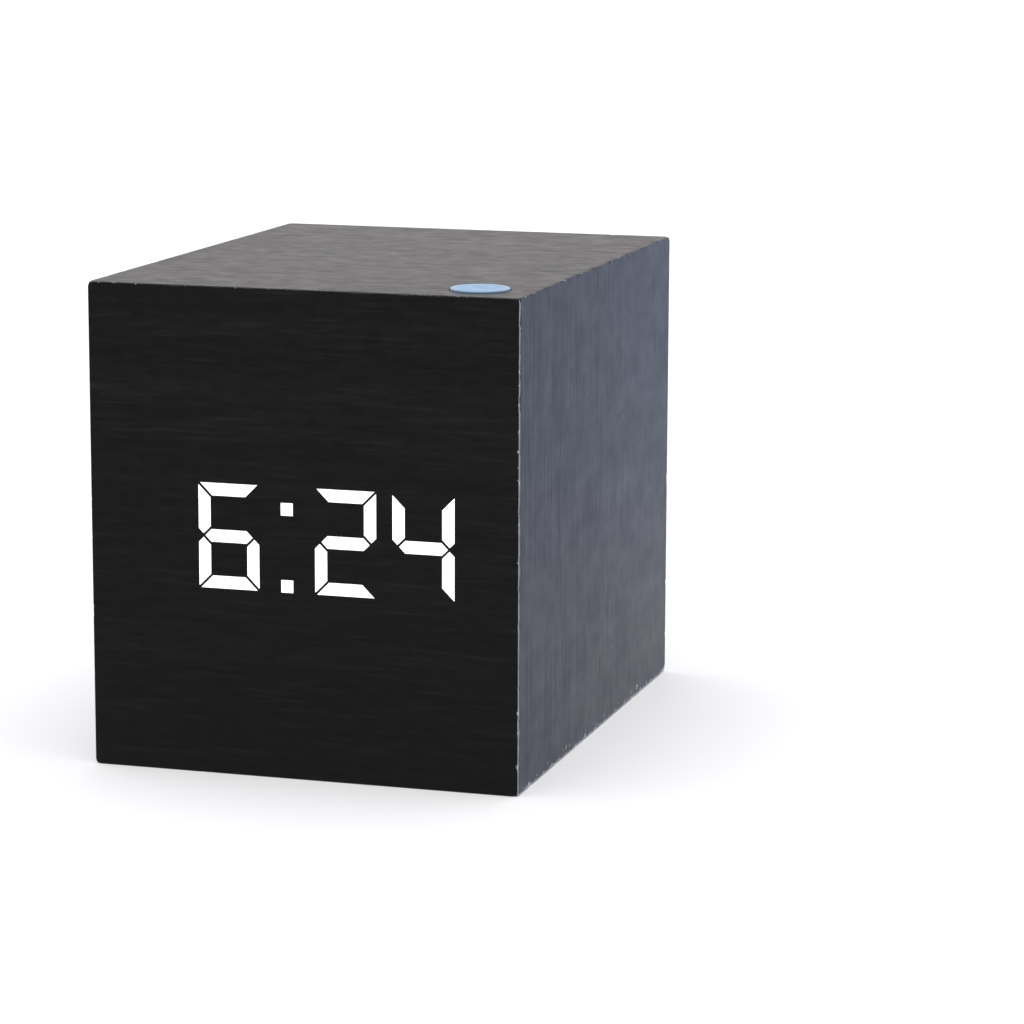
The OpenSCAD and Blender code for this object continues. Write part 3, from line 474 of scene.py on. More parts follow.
def metal(name, colour, rough, brushed=(1.0, 1.0, 1.0)):
    """A plated metal: cloudy plating, with fine draw lines along the squeezed axis."""
    finish, place, lay = new_finish(name, Metallic=1.0)
    cloud, lines = place.noise(0.4, 4.0), place.stretched(brushed).noise(5.0, 4.0, 0.65)
    dull = tuple(c * 0.72 for c in colour[:3]) + (1.0,)
    lay(Base_Color=(cloud * 0.6 + lines * 0.4).step(0.3, 0.65).mix(dull, colour),
        Roughness=rough + (lines - 0.5) * 0.2 + (cloud - 0.5) * 0.15, height=lines, depth=0.002)
    return finish


dress(moulded("reflector_moulding", tone(236, 236, 232), 2.0, 0.003, 0.5, 0.04), "display_reflector")
dress(moulded("lamp_epoxy", tone(244, 226, 150), 4.0, 0.002, 0.25, 0.1), "segment_leds")

solder_mask, place, lay = new_finish("solder_mask", Coat_Weight=0.35, Coat_Roughness=0.2)
x, y, z = place.axes()
plan = place.node("ShaderNodeCombineXYZ", None, {0: x, 1: z + y * 0.7})
track = place.node("ShaderNodeTexBrick", {"offset": 0.37}, {
    "Vector": plan, "Scale": 1.0, "Mortar Size": 0.14, "Mortar Smooth": 0.2, "Brick Width": 3.7,
    "Row Height": 1.27,
}, 1)
weave = place.noise(1.6, 3.0)
lay(Base_Color=track.mix(weave.mix(tone(12, 62, 38), tone(20, 82, 50)), tone(48, 122, 74)),
    Roughness=0.34 + weave * 0.12, height=track + weave * 0.2, depth=0.02)
dress(solder_mask, "display_board", "control_board", "snooze_board")

chip_epoxy = moulded("chip_epoxy", tone(30, 30, 32), 5.0, 0.006, 0.55, 0.25)
dress(chip_epoxy, "microcontroller", "buzzer")
dress(metal("can_aluminium", tone(176, 180, 186), 0.34, (1.0, 0.05, 1.0)), "smoothing_capacitor")
zinc = metal("zinc_plate", tone(196, 199, 202), 0.3, (0.3, 1.0, 1.0))
dress(zinc, "quartz_crystal")
nylon = moulded("ivory_nylon", tone(226, 218, 196), 2.5, 0.004, 0.42, 0.06)
dress(nylon, "display_ribbon_socket", "control_ribbon_socket")

# Figures: milky diffusers pressed into the reflector's wells, lit from behind by their lamps. The light
# varies a little over a segment, in soft patches.

diffuser, place, lay = new_finish("lit_diffuser", Emission_Strength=1.0, Roughness=0.4)
milk = place.noise(0.6, 3.0)
lay(Base_Color=milk.mix(tone(214, 214, 216), tone(232, 232, 232)),
    Emission_Color=milk.step(0.2, 0.5).mix((0.90, 0.91, 0.93, 1.0), (1.0, 1.0, 1.0, 1.0)))
dress(diffuser, "hour_digit", "colon_dots", "tens_digit", "units_digit")
dark_diffuser = moulded("dark_diffuser", tone(206, 206, 202), 2.0, 0.002, 0.4, 0.05)
dress(dark_diffuser, "leading_one")

# Screws: zinc-plated pan heads with a cross recess and a rolled thread. Four hold the back cover,
# four the display board, two the control board and two the snooze board.


def size_tree(name, sizes):
    """A geometry tree with a named input for each size, and the sockets by name."""
    tree = bpy.data.node_groups.new(name, "GeometryNodeTree")
    tree.interface.new_socket("Geometry", in_out="OUTPUT", socket_type="NodeSocketGeometry")
    tree.interface.new_socket("Points", in_out="INPUT", socket_type="NodeSocketGeometry")
    for label, kind in sizes.items():
        tree.interface.new_socket(label, in_out="INPUT", socket_type="NodeSocket" + kind)
    tree.interface.new_socket("Finish", in_out="INPUT", socket_type="NodeSocketMaterial")
    given = tree.nodes.new("NodeGroupInput").outputs
    return Socket(tree), {out.name: Socket(tree, out) for out in given if out.name}


def finish_tree(root, shape, finish):
    """Ends a tree: its instances become plain mesh, with the finish set on it."""
    shape = root.node("GeometryNodeRealizeInstances", None, {0: shape})
    shape = root.node("GeometryNodeSetMaterial", None, {0: shape, "Material": finish})
    end = root.tree.nodes.new("NodeGroupOutput")
    root.feed(end, {0: shape})
    return root.tree


def grown(name, tree, points, finish, **sizes):
    """The mesh that a tree makes on points in mm. Sizes are in metres, named as the tree's inputs."""
    mesh = bpy.data.meshes.new(name)
    mesh.from_pydata([Vector(point) * MM for point in points], [], [])
    holder = bpy.data.objects.new(name, mesh)
    grow = holder.modifiers.new("grow", "NODES")
    grow.node_group = tree
    sizes = {label.replace("_", " "): value for label, value in sizes.items()} | {"Finish": finish}
    for item in tree.interface.items_tree:
        if item.in_out == "INPUT" and item.name in sizes:
            grow[item.identifier] = sizes[item.name]
    bpy.context.scene.collection.objects.link(holder)
    return final_mesh(holder)


CROWN_DROP, POINT_R, CORE_R = 0.32, 0.35, 0.82
THREAD_R, THREAD_RUN, THREAD_START, WEDGE_R = 0.84, 0.82, 0.84, 0.16
root, size = size_tree("pan_head_screw", {
    "Head radius": "Float", "Head height": "Float", "Shank radius": "Float", "Length": "Float",
    "Pitch": "Float", "Turn": "Vector",
})
upright = root.node("ShaderNodeCombineXYZ", None, {2: size["Head height"]})
stem = root.node("GeometryNodeCurvePrimitiveLine", None, {"End": upright})
stem = root.node("GeometryNodeResampleCurve", None, {"Curve": stem, "Count": 9})
rise = root.node("GeometryNodeSplineParameter").step(0.35, 1.0)
crown = size["Head radius"] * (1.0 - rise * rise * CROWN_DROP)
ring = root.node("GeometryNodeCurvePrimitiveCircle", None, {"Resolution": 40, "Radius": 1.0})
head = root.node("GeometryNodeCurveToMesh", None, {0: stem, 1: ring, "Scale": crown, "Fill Caps": True})
slots = []
for wide, narrow, deep in ((1.12, 0.24, 1.20), (0.25, 1.13, 1.26)):
    bar = root.node("ShaderNodeCombineXYZ", None, {
        0: size["Head radius"] * wide, 1: size["Head radius"] * narrow, 2: size["Head height"] * deep,
    })
    bar = root.node("GeometryNodeMeshCube", None, {"Size": bar})
    slots.append(root.node("GeometryNodeTransform", None, {0: bar, "Translation": upright}))
head = root.node("GeometryNodeMeshBoolean", {"operation": "DIFFERENCE"}, {0: head, 1: slots})
foot = root.node("ShaderNodeCombineXYZ", None, {2: size["Length"] * -1.0})
shank = root.node("GeometryNodeCurvePrimitiveLine", None, {"Start": foot, "End": (0.0, 0.0, 0.0)})
shank = root.node("GeometryNodeResampleCurve", None, {"Curve": shank, "Count": 24})
point = root.node("GeometryNodeSplineParameter").step(0.0, 0.12) * (1 - POINT_R) + POINT_R
core = size["Shank radius"] * point * CORE_R
shank = root.node("GeometryNodeCurveToMesh", None, {0: shank, 1: ring, "Scale": core, "Fill Caps": True})
thread_r, thread_run = size["Shank radius"] * THREAD_R, size["Length"] * THREAD_RUN
thread = root.node("GeometryNodeCurveSpiral", None, {
    "Resolution": 20, "Rotations": thread_run / size["Pitch"], "Start Radius": thread_r,
    "End Radius": thread_r, "Height": thread_run,
})
low = root.node("ShaderNodeCombineXYZ", None, {2: size["Length"] * -THREAD_START})
thread = root.node("GeometryNodeTransform", None, {0: thread, "Translation": low})
wedge_r = size["Shank radius"] * WEDGE_R
wedge = root.node("GeometryNodeCurvePrimitiveCircle", None, {"Resolution": 6, "Radius": wedge_r})
thread = root.node("GeometryNodeCurveToMesh", None, {0: thread, 1: wedge, "Fill Caps": True})
screw = root.node("GeometryNodeJoinGeometry", None, {0: [head, shank, thread]})
spots = root.node("GeometryNodeInstanceOnPoints", None, {
    "Points": size["Points"], "Instance": screw, "Rotation": size["Turn"],
})
MOST_SPIN, SPIN_SEED = 1.5, 7
spin = {2: 0.0, 3: MOST_SPIN, "Seed": SPIN_SEED}
spin = root.node("FunctionNodeRandomValue", {"data_type": "FLOAT"}, spin, 1)
spin = root.node("ShaderNodeCombineXYZ", None, {2: spin})
spots = root.node("GeometryNodeRotateInstances", None, {0: spots, "Rotation": spin, "Local Space": True})
screw_tree = finish_tree(root, spots, size["Finish"])

TO_REAR, TO_FRONT, DOWN = (-math.pi / 2, 0, 0), (math.pi / 2, 0, 0), (math.pi, 0, 0)
SCREW = {"Head_radius": 2.0 * MM, "Head_height": 1.2 * MM, "Shank_radius": 1.0 * MM, "Pitch": 0.8 * MM}


def screws(node, seats, turn, length):
    """Screws on their seats in mm, heads turned the given way, in the place of a node's."""
    mesh = grown(node, screw_tree, seats, zinc, Length=length * MM, Turn=turn, **SCREW)
    fit(node + "_cut", mesh, zinc, "case", "zinc_steel", node)


screws("display_screws", [(x, -30.1, z) for x in (-17.15, 19.9) for z in (21.55, 43.65)], TO_REAR, 7.3)

# Snooze button: a satin blue cap on a stem through the top, held by a spring clip from below. It
# presses a push switch on a small board that hangs from the top on two nylon spacers.


def arc(mid, radius, start, end, steps=5):
    """Points of a rounded corner of a profile, in degrees from the radius axis towards the turning axis."""
    turns = (math.radians(start + (end - start) * k / steps) for k in range(steps + 1))
    return [(mid[0] + radius * math.cos(t), mid[1] + radius * math.sin(t)) for t in turns]


CAP_R, CAP_RIM, STEM_R, CAP_BREAK, STEM_BREAK = 3.97, 0.24, 1.5, 0.2, 0.3
cap_top, cap_low, stem_low = snooze_hi.z, 64.3, snooze_lo.z
cap_profile = [(0, cap_top - 0.03), (2.2, cap_top - 0.02)]
cap_profile += arc((CAP_R - CAP_RIM, cap_top - CAP_RIM), CAP_RIM, 90, 0)
cap_profile += [(CAP_R, cap_low + CAP_BREAK), (CAP_R - CAP_BREAK, cap_low)]
cap_profile += [(STEM_R + CAP_BREAK, cap_low), (STEM_R, cap_low - CAP_BREAK)]
cap_profile += [(STEM_R, stem_low + STEM_BREAK), (STEM_R - STEM_BREAK, stem_low), (0, stem_low)]
button_blue, place, lay = new_finish("button_blue", Specular_IOR_Level=0.2)
x, y, z = place.axes()
away_x, away_y = x - snooze_at[0], y - snooze_at[1]
away = (away_x * away_x + away_y * away_y).math("SQRT")
grit, drift = place.noise(6.0, 3.0, 0.6), place.noise(0.5, 2.0)
face = drift.step(0.35, 0.65).mix(tone(113, 150, 183), tone(132, 164, 194))
# Painted highlight: the cap's face is paler towards its rim.
face = away.step(2.6, 3.8).mix(face, tone(142, 171, 197))
# Painted shade: the cap's side, below its top, is a darker blue.
lay(Base_Color=z.step(cap_top - 0.27, cap_top - 0.17).mix(tone(94, 130, 164), face),
    Roughness=0.42 + (grit - 0.5) * 0.2, height=grit, depth=0.003)
snooze_piece = lathe("snooze_cap", cap_profile, snooze_at, ALONG_Z, 96)
fit("snooze_cap_turned", snooze_piece, button_blue, "snooze_button", "button_blue", "snooze_cap")
dress(zinc, "snooze_clip")
switch_black = moulded("switch_black", tone(38, 38, 40), 4.0, 0.004, 0.5, 0.15)
dress(switch_black, "snooze_switch_body", "rear_switch_bodies")
plunger_grey = moulded("plunger_grey", tone(62, 62, 64), 4.0, 0.003, 0.4, 0.1)
dress(plunger_grey, "snooze_switch_plunger", "set_switch_plunger", "up_switch_plunger", "down_switch_plunger")
dress(nylon, "snooze_spacers")
screws("snooze_screws", [(11.3, -31.3, 52.4), (22.3, -22.8, 52.4)], DOWN, 12.0)

# Wires: plastic-covered leads that leave their solder pads square and bend in one sweep. A pair
# runs from the snooze board to the display board.


def wire_tree(name, webbed):
    """A run of like wires side by side in X, webbed into a ribbon where asked."""
    root, size = size_tree(name, {
        "Start": "Vector", "Start handle": "Vector", "End handle": "Vector", "End": "Vector",
        "Radius": "Float", "Count": "Int", "Pitch": "Float", "Web": "Float",
    })
    path = root.node("GeometryNodeCurvePrimitiveBezierSegment", {"mode": "POSITION"}, {
        "Resolution": 40, "Start": size["Start"], "Start Handle": size["Start handle"],
        "End Handle": size["End handle"], "End": size["End"],
    })
    ring = root.node("GeometryNodeCurvePrimitiveCircle", None, {"Resolution": 16, "Radius": size["Radius"]})
    wire = root.node("GeometryNodeCurveToMesh", None, {0: path, 1: ring, "Fill Caps": True})
    across = root.node("ShaderNodeCombineXYZ", None, {0: size["Pitch"]})
    line = root.node("GeometryNodeMeshLine", None, {"Count": size["Count"], "Offset": across})
    shape = [root.node("GeometryNodeInstanceOnPoints", None, {"Points": line, "Instance": wire})]
    if webbed:
        level = root.node("GeometryNodeSetCurveNormal", {"mode": "Z_UP"}, {0: path})
        width = size["Pitch"] * (size["Count"] - 1.0)
        outline = {"Width": width, "Height": size["Web"]}
        flat = root.node("GeometryNodeCurvePrimitiveQuadrilateral", None, outline)
        web = root.node("GeometryNodeCurveToMesh", None, {0: level, 1: flat, "Fill Caps": True})
        middle = root.node("ShaderNodeCombineXYZ", None, {0: width * 0.5})
        shape.append(root.node("GeometryNodeTransform", None, {0: web, "Translation": middle}))
    shape = root.node("GeometryNodeJoinGeometry", None, {0: shape})
    return finish_tree(root, shape, size["Finish"])


def run_wires(piece, node, slot, finish, tree, path, radius, count=1, pitch=0.0, web=0.0):
    """Wires along a cubic path in mm, in the place of a node's."""
    start, leave, arrive, end = ([c * MM for c in point] for point in path)
    mesh = grown(piece, tree, [(0, 0, 0)], finish, Start=start, Start_handle=leave, End_handle=arrive,
                 End=end, Radius=radius * MM, Count=count, Pitch=pitch * MM, Web=web * MM)
    fit(piece, mesh, finish, "case", slot, node, sharp=50)


LEAD_R, PAIR, PAIR_PITCH = 0.6, 2, 2.0
lead_tree = wire_tree("lead", False)
lead_grey = moulded("lead_grey", tone(120, 122, 124), 1.5, 0.004, 0.4, 0.08)
snooze_path = [(14.3, -25.3, 52.4), (14.3, -25.3, 47.4), (14.3, -25.1, 44.9), (14.3, -30.1, 44.9)]
run_wires("snooze_lead_pair", "snooze_leads", "ribbon_grey", lead_grey, lead_tree, snooze_path, LEAD_R,
          PAIR, PAIR_PITCH)

# Back cover: one black moulding with a spark-grained face. It holds the battery bay, the bosses of
# the control board and the openings, and four screws draw it against the corner blocks.


def softened(name, node, width):
    """A node's own shape with its moulded edges broken, from a merged copy of its mesh."""
    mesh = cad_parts[node].data.copy()
    shell = bmesh.new()
    shell.from_mesh(mesh)
    bmesh.ops.remove_doubles(shell, verts=shell.verts, dist=0.002 * MM)
    bmesh.ops.dissolve_limit(shell, angle_limit=math.radians(1), verts=shell.verts, edges=shell.edges)
    shell.to_mesh(mesh)
    shell.free()
    holder = bpy.data.objects.new(name, mesh)
    bpy.context.scene.collection.objects.link(holder)
    round_off = holder.modifiers.new("edges", "BEVEL")
    round_off.width, round_off.segments = width * MM, 2
    round_off.limit_method, round_off.angle_limit = "ANGLE", math.radians(40)
    return final_mesh(holder)


spark_grain, place, lay = new_finish("spark_grain")
pits, drift = place.noise(3.2, 4.0, 0.7), place.noise(0.1, 3.0)
scuff = place.stretched((1.0, 1.0, 0.25)).noise(0.9, 5.0, 0.7).step(0.62, 0.78)
shade = (pits * 0.5 + drift * 0.5).step(0.3, 0.7)
lay(Base_Color=scuff.mix(shade.mix(tone(24, 24, 25), tone(38, 38, 39)), tone(50, 50, 51)),
    Roughness=0.56 + (pits - 0.5) * 0.3 - scuff * 0.12, height=pits, depth=0.03)
cover = softened("cover", "back_cover", 0.15)
MOULDED_EDGES = {"sharp": 20, "broad": 4.0}
fit("back_cover_moulding", cover, spark_grain, "case", "abs_black", "back_cover", **MOULDED_EDGES)
cover_seats = [(x, 36.8, z) for x in (-22.75, 22.75) for z in (7.25, 58.75)]
screws("back_cover_screws", cover_seats, TO_REAR, 8.0)
screws("control_board_screws", [(x, 27.9, 38.2) for x in (-12.5, 10.75)], TO_FRONT, 5.6)

# Rear keys: three round caps over push switches, each with a dished crown and one raised mark that
# a finger can tell: a ring for set, and a point up or down. A flange keeps each behind the cover.

KEYS_X = [
    (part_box(mark + "_button")[0].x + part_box(mark + "_button")[1].x) / 2 / MM
    for mark in ("set", "up", "down")
]
KEYS_Z = (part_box("set_button")[0].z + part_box("set_button")[1].z) / 2 / MM
KEYS_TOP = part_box("set_button")[1].y / MM
KEY_R, KEY_FLANGE_R, KEY_FLANGE_T, KEY_RIM, DISH, KEY_BREAK = 3.0, 3.7, 1.0, 0.3, 0.22, 0.1
MARK_R, MARK_LOW, MARK_HIGH = 1.0, 0.5, 0.02
key_abs, place, lay = new_finish("key_abs")
x, y, z = place.axes()
nearest = None
for key_x in KEYS_X:
    off_x, off_z = x - key_x, z - KEYS_Z
    off = (off_x * off_x + off_z * off_z).math("SQRT")
    nearest = off if nearest is None else nearest.math("MINIMUM", off)
drift, texture = place.noise(0.3, 3.0), place.noise(3.0, 3.0, 0.6)
painted = (1.0 - nearest.step(1.2, 1.3)) * y.step(KEYS_TOP - 0.12, KEYS_TOP - 0.06)
lay(Base_Color=painted.mix(drift.mix(tone(36, 36, 38), tone(44, 44, 46)), tone(188, 188, 184)),
    Roughness=0.42 + (texture - 0.5) * 0.2, height=texture, depth=0.006)
for mark, turns in (("set", ()), ("up", (90, 210, 330)), ("down", (270, 30, 150))):
    lo, hi = (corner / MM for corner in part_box(mark + "_button"))
    centre = ((lo.x + hi.x) / 2, 0, (lo.z + hi.z) / 2)
    flange_y = lo.y + KEY_FLANGE_T
    profile = [(0, lo.y), (KEY_FLANGE_R - KEY_BREAK, lo.y), (KEY_FLANGE_R, lo.y + KEY_BREAK)]
    profile += [(KEY_FLANGE_R, flange_y - KEY_BREAK), (KEY_FLANGE_R - KEY_BREAK, flange_y)]
    profile += [(KEY_R, flange_y), *arc((KEY_R - KEY_RIM, hi.y - KEY_RIM), KEY_RIM, 0, 90)]
    profile += [(2.35, hi.y - 0.04), (1.9, hi.y - DISH * 0.75), (1.0, hi.y - DISH), (0, hi.y - DISH)]
    key = lathe(mark, profile, centre, ALONG_Y)
    if turns:
        rays = [(math.cos(math.radians(t)), math.sin(math.radians(t))) for t in turns]
        corners = [(centre[0] - MARK_R * x, centre[2] + MARK_R * z) for x, z in rays]
        raised = prisms(mark + "_mark", [corners], hi.y - MARK_LOW, hi.y - MARK_HIGH)
    else:
        raised = lathe("ring_mark", [
            (0, hi.y - MARK_LOW), (0.95, hi.y - MARK_LOW), (0.95, hi.y - 0.1), (0.85, hi.y - MARK_HIGH),
            (0.65, hi.y - MARK_HIGH), (0.55, hi.y - 0.1), (0.55, hi.y - 0.3), (0, hi.y - 0.3),
        ], centre, ALONG_Y, 48)
    both = bmesh.new()
    both.from_mesh(key)
    both.from_mesh(raised)
    both.to_mesh(key)
    both.free()
    fit(mark + "_key_cap", key, key_abs, mark + "_key", "abs_black", mark + "_button")

# Power socket: a drawn nickel shell round a black tongue, soldered to the control board. Gilt
# contacts lie in the tongue, six on each face.

nickel = metal("nickel_plate", tone(206, 203, 196), 0.24, (1.0, 0.08, 1.0))
dress(nickel, "usb_socket_shell")
dress(moulded("tongue_black", tone(26, 26, 28), 4.0, 0.003, 0.45, 0.12), "usb_socket_tongue")
root, size = size_tree("tongue_contacts", {
    "Width": "Float", "Thickness": "Float", "Length": "Float", "Pitch": "Float", "Count": "Int",
    "Rise": "Float",
})
outline = {"Width": size["Width"], "Height": size["Thickness"]}
band = root.node("GeometryNodeCurvePrimitiveQuadrilateral", None, outline)
band = root.node("GeometryNodeFilletCurve", {"mode": "POLY"}, {
    "Curve": band, "Radius": size["Thickness"] * 0.4, "Count": 3,
})
strip = root.node("GeometryNodeCurvePrimitiveLine", None, {
    "Start": (0.0, 0.0, 0.0), "End": root.node("ShaderNodeCombineXYZ", None, {1: size["Length"]}),
})
strip = root.node("GeometryNodeCurveToMesh", None, {0: strip, 1: band, "Fill Caps": True})
row = root.node("GeometryNodeMeshLine", None, {
    "Count": size["Count"], "Offset": root.node("ShaderNodeCombineXYZ", None, {0: size["Pitch"]}),
})
row = root.node("GeometryNodeInstanceOnPoints", None, {"Points": row, "Instance": strip})
faces = [
    root.node("GeometryNodeTransform", None, {
        0: row, "Translation": root.node("ShaderNodeCombineXYZ", None, {2: size["Rise"] * way}),
    }) for way in (1.0, -1.0)
]
rows = root.node("GeometryNodeJoinGeometry", None, {0: faces})
rows = root.node("GeometryNodeInstanceOnPoints", None, {"Points": size["Points"], "Instance": rows})
contact_tree = finish_tree(root, rows, size["Finish"])
gilt = metal("gilt_contact", tone(214, 176, 96), 0.22, (1.0, 0.1, 1.0))
CONTACT_PITCH, CONTACTS = 0.9, 6
contacts_at = (-12.5 - CONTACT_PITCH * (CONTACTS - 1) / 2, 32.6, 32.9)
contacts = grown("contacts", contact_tree, [contacts_at], gilt, Width=0.42 * MM, Thickness=0.06 * MM,
                 Length=3.6 * MM, Pitch=CONTACT_PITCH * MM, Count=CONTACTS, Rise=0.35 * MM)
fit("power_socket_contacts", contacts, gilt, "case", "nickel")

# Battery: two cells pushed in end first, nose in and nose out. Plates and conical springs touch
# their ends, two in the bay and a bridge on the door.

CELL_R, CELL_L, NOSE_R, NOSE_L = 5.25, 44.5, 1.9, 0.8
FLAT_ROUND, SHOULDER_ROUND, NOSE_ROUND = 0.4, 0.6, 0.2
for side, nose_way in (("left", -1), ("right", 1)):
    lo, hi = (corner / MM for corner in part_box(side + "_cell"))
    flat_y = lo.y if nose_way > 0 else hi.y
    centre = ((lo.x + hi.x) / 2, flat_y, (lo.z + hi.z) / 2)
    shoulder = CELL_L - NOSE_L
    profile = [(0, 0.12), (3.3, 0.12), (3.6, 0.0), (CELL_R - 0.5, 0.0)]
    profile += arc((CELL_R - FLAT_ROUND, FLAT_ROUND), FLAT_ROUND, -90, 0)
    profile += arc((CELL_R - SHOULDER_ROUND, shoulder - SHOULDER_ROUND), SHOULDER_ROUND, 0, 90)
    profile += [(4.3, shoulder), (4.2, shoulder - 0.25), (2.3, shoulder - 0.2), (NOSE_R, shoulder - 0.1)]
    profile += [*arc((NOSE_R - NOSE_ROUND, CELL_L - NOSE_ROUND), NOSE_ROUND, 0, 90), (0, CELL_L)]
    wrap, place, lay = new_finish(side + "_cell_wrap")
    x, y, z = place.axes()
    along = (y - flat_y) * nose_way
    away_x, away_z = x - centre[0], z - centre[2]
    skin = (away_x * away_x + away_z * away_z).math("SQRT").step(4.55, 4.65)
    cloud, lines = place.noise(0.3, 3.0), place.stretched((1.0, 6.0, 1.0)).noise(2.0, 3.0)
    band = along.step(31.9, 32.0)
    slate, copper = (tone(34, 44, 58), tone(46, 58, 74)), (tone(178, 112, 58), tone(196, 130, 72))
    sleeve = band.mix(cloud.mix(*slate), cloud.mix(*copper))
    seam = along.step(31.2, 31.25) * (1.0 - along.step(31.65, 31.7))
    sleeve = seam.mix(sleeve, tone(206, 206, 204))
    can = lines.mix(tone(168, 168, 164), tone(206, 205, 200))
    lay(Base_Color=skin.mix(can, sleeve), Metallic=1.0 - skin * 0.75,
        Roughness=0.26 + (lines - 0.5) * 0.12 + skin * 0.1, height=lines, depth=0.002)
    cell = lathe(side, profile, centre, (0, nose_way, 0), 72)
    fit(side + "_cell_wrapped", cell, wrap, "case", "cell_wrap", side + "_cell")
dress(nickel, "cell_contacts", "door_contact")

root, size = size_tree("contact_spring", {
    "Turns": "Float", "Wide radius": "Float", "Narrow radius": "Float", "Height": "Float",
    "Wire radius": "Float",
})
coil = root.node("GeometryNodeCurveSpiral", None, {
    "Resolution": 40, "Rotations": size["Turns"], "Start Radius": size["Wide radius"],
    "End Radius": size["Narrow radius"], "Height": size["Height"],
})
wire = root.node("GeometryNodeCurvePrimitiveCircle", None, {"Resolution": 12, "Radius": size["Wire radius"]})
coil = root.node("GeometryNodeCurveToMesh", None, {0: coil, 1: wire, "Fill Caps": True})
coil = root.node("GeometryNodeInstanceOnPoints", None, {"Points": size["Points"], "Instance": coil})
spring_tree = finish_tree(root, coil, size["Finish"])
SPRING_WIRE_R, SPRING_L, SPRING_FIRST = 0.25, 3.2, 0.27
spring_steel = metal("spring_nickel", tone(198, 196, 190), 0.22)
for name, body, way in (("bay_spring", "case", 1), ("door_spring", "battery_hatch", -1)):
    lo, hi = (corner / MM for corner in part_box(name))
    root_at = ((5.5 if way > 0 else -5.5), lo.y - 0.02 if way > 0 else hi.y + 0.02, 13.95)
    mesh = grown(name, spring_tree, [(0, 0, SPRING_FIRST)], spring_steel, Turns=2.5, Wide_radius=3.5 * MM,
                 Narrow_radius=1.9 * MM, Height=(SPRING_L - 2 * SPRING_FIRST) * MM,
                 Wire_radius=SPRING_WIRE_R * MM)
    mesh.transform(Matrix(((0, way, 0, root_at[0] * MM), (0, 0, way, root_at[1] * MM),
                           (1, 0, 0, root_at[2] * MM), (0, 0, 0, 1))))
    fit(name + "_coil", mesh, spring_steel, body, "nickel", name, sharp=50)

# Battery door: a black moulding hinged on two pins at its lower edge, with a sprung latch tongue
# and three grip ridges. It carries the bridge contact and its spring.

door = softened("door", "battery_door", 0.12)
fit("battery_door_moulding", door, spark_grain, "battery_hatch", "abs_black", "battery_door", **MOULDED_EDGES)

# Battery leads and ribbon: a red and a black lead from the bay's plates to the control board, and a
# six-way grey ribbon, marked red on its first way, between the two boards.

lead_red = moulded("lead_red", tone(172, 36, 30), 1.5, 0.004, 0.36, 0.08)
lead_black = moulded("lead_black", tone(30, 30, 32), 1.5, 0.004, 0.4, 0.12)
for node, finish, slot, way in (
    ("positive_lead", lead_red, "wire_red", -1), ("negative_lead", lead_black, "wire_black", 1),
):
    x0, x1 = 5.5 * way, 14.9 * way
    path = [(x0, -12.1, 22.4), (x0, -12.1, 30.4), (x1, 13.9, 30.6), (x1, 27.9, 30.6)]
    run_wires(node + "_run", node, slot, finish, lead_tree, path, LEAD_R)
RIBBON_X, RIBBON_PITCH, RIBBON_WAYS, RIBBON_R, RIBBON_WEB = -0.825, 1.32, 6, 0.45, 0.3
ribbon_x0 = RIBBON_X - RIBBON_PITCH * (RIBBON_WAYS - 1) / 2
ribbon_grey, place, lay = new_finish("ribbon_grey")
x, y, z = place.axes()
cloud = place.noise(0.6, 3.0)
grey = cloud.mix(tone(126, 128, 130), tone(148, 150, 152))
lay(Base_Color=x.step(ribbon_x0 + 0.6, ribbon_x0 + 0.7).mix(tone(168, 40, 34), grey),
    Roughness=0.42 + cloud * 0.12)
ribbon_tree = wire_tree("ribbon", True)
ribbon_path = [(ribbon_x0, y, z) for y, z in ((26.8, 36.4), (5.9, 36.4), (-8.1, 42.4), (-29.0, 42.4))]
run_wires("ribbon_run", "ribbon_cable", "ribbon_grey", ribbon_grey, ribbon_tree, ribbon_path, RIBBON_R,
          RIBBON_WAYS, RIBBON_PITCH, RIBBON_WEB)

# Studio: a pale floor without a join, under an even sky and one broad soft light from straight above.
# Gloss sees the floor glow, cooler towards the rear. The camera has the height and angle of the
# photograph.

FLOOR_HALF = 6
floor_mesh = bpy.data.meshes.new("floor")
floor_corners = [(a * FLOOR_HALF, b * FLOOR_HALF, 0) for a, b in ((-1, -1), (1, -1), (1, 1), (-1, 1))]
floor_mesh.from_pydata(floor_corners, [], [(0, 1, 2, 3)])
floor = bpy.data.objects.new("floor", floor_mesh)
bpy.context.scene.collection.objects.link(floor)
pale = bpy.data.materials.new("pale_floor")
pale.use_nodes = True
pale.node_tree.nodes.clear()
root = Socket(pale.node_tree)


def background_rays(root):
    """1 for the rays that go to the eye, and 1 for those in gloss or through glass."""
    path = root.node("ShaderNodeLightPath").socket.node
    kinds = ("Is Camera Ray", "Is Glossy Ray", "Is Transmission Ray")
    eye, gloss, through = (Socket(root.tree, path.outputs[kind]) for kind in kinds)
    return eye, gloss.math("MAXIMUM", through)


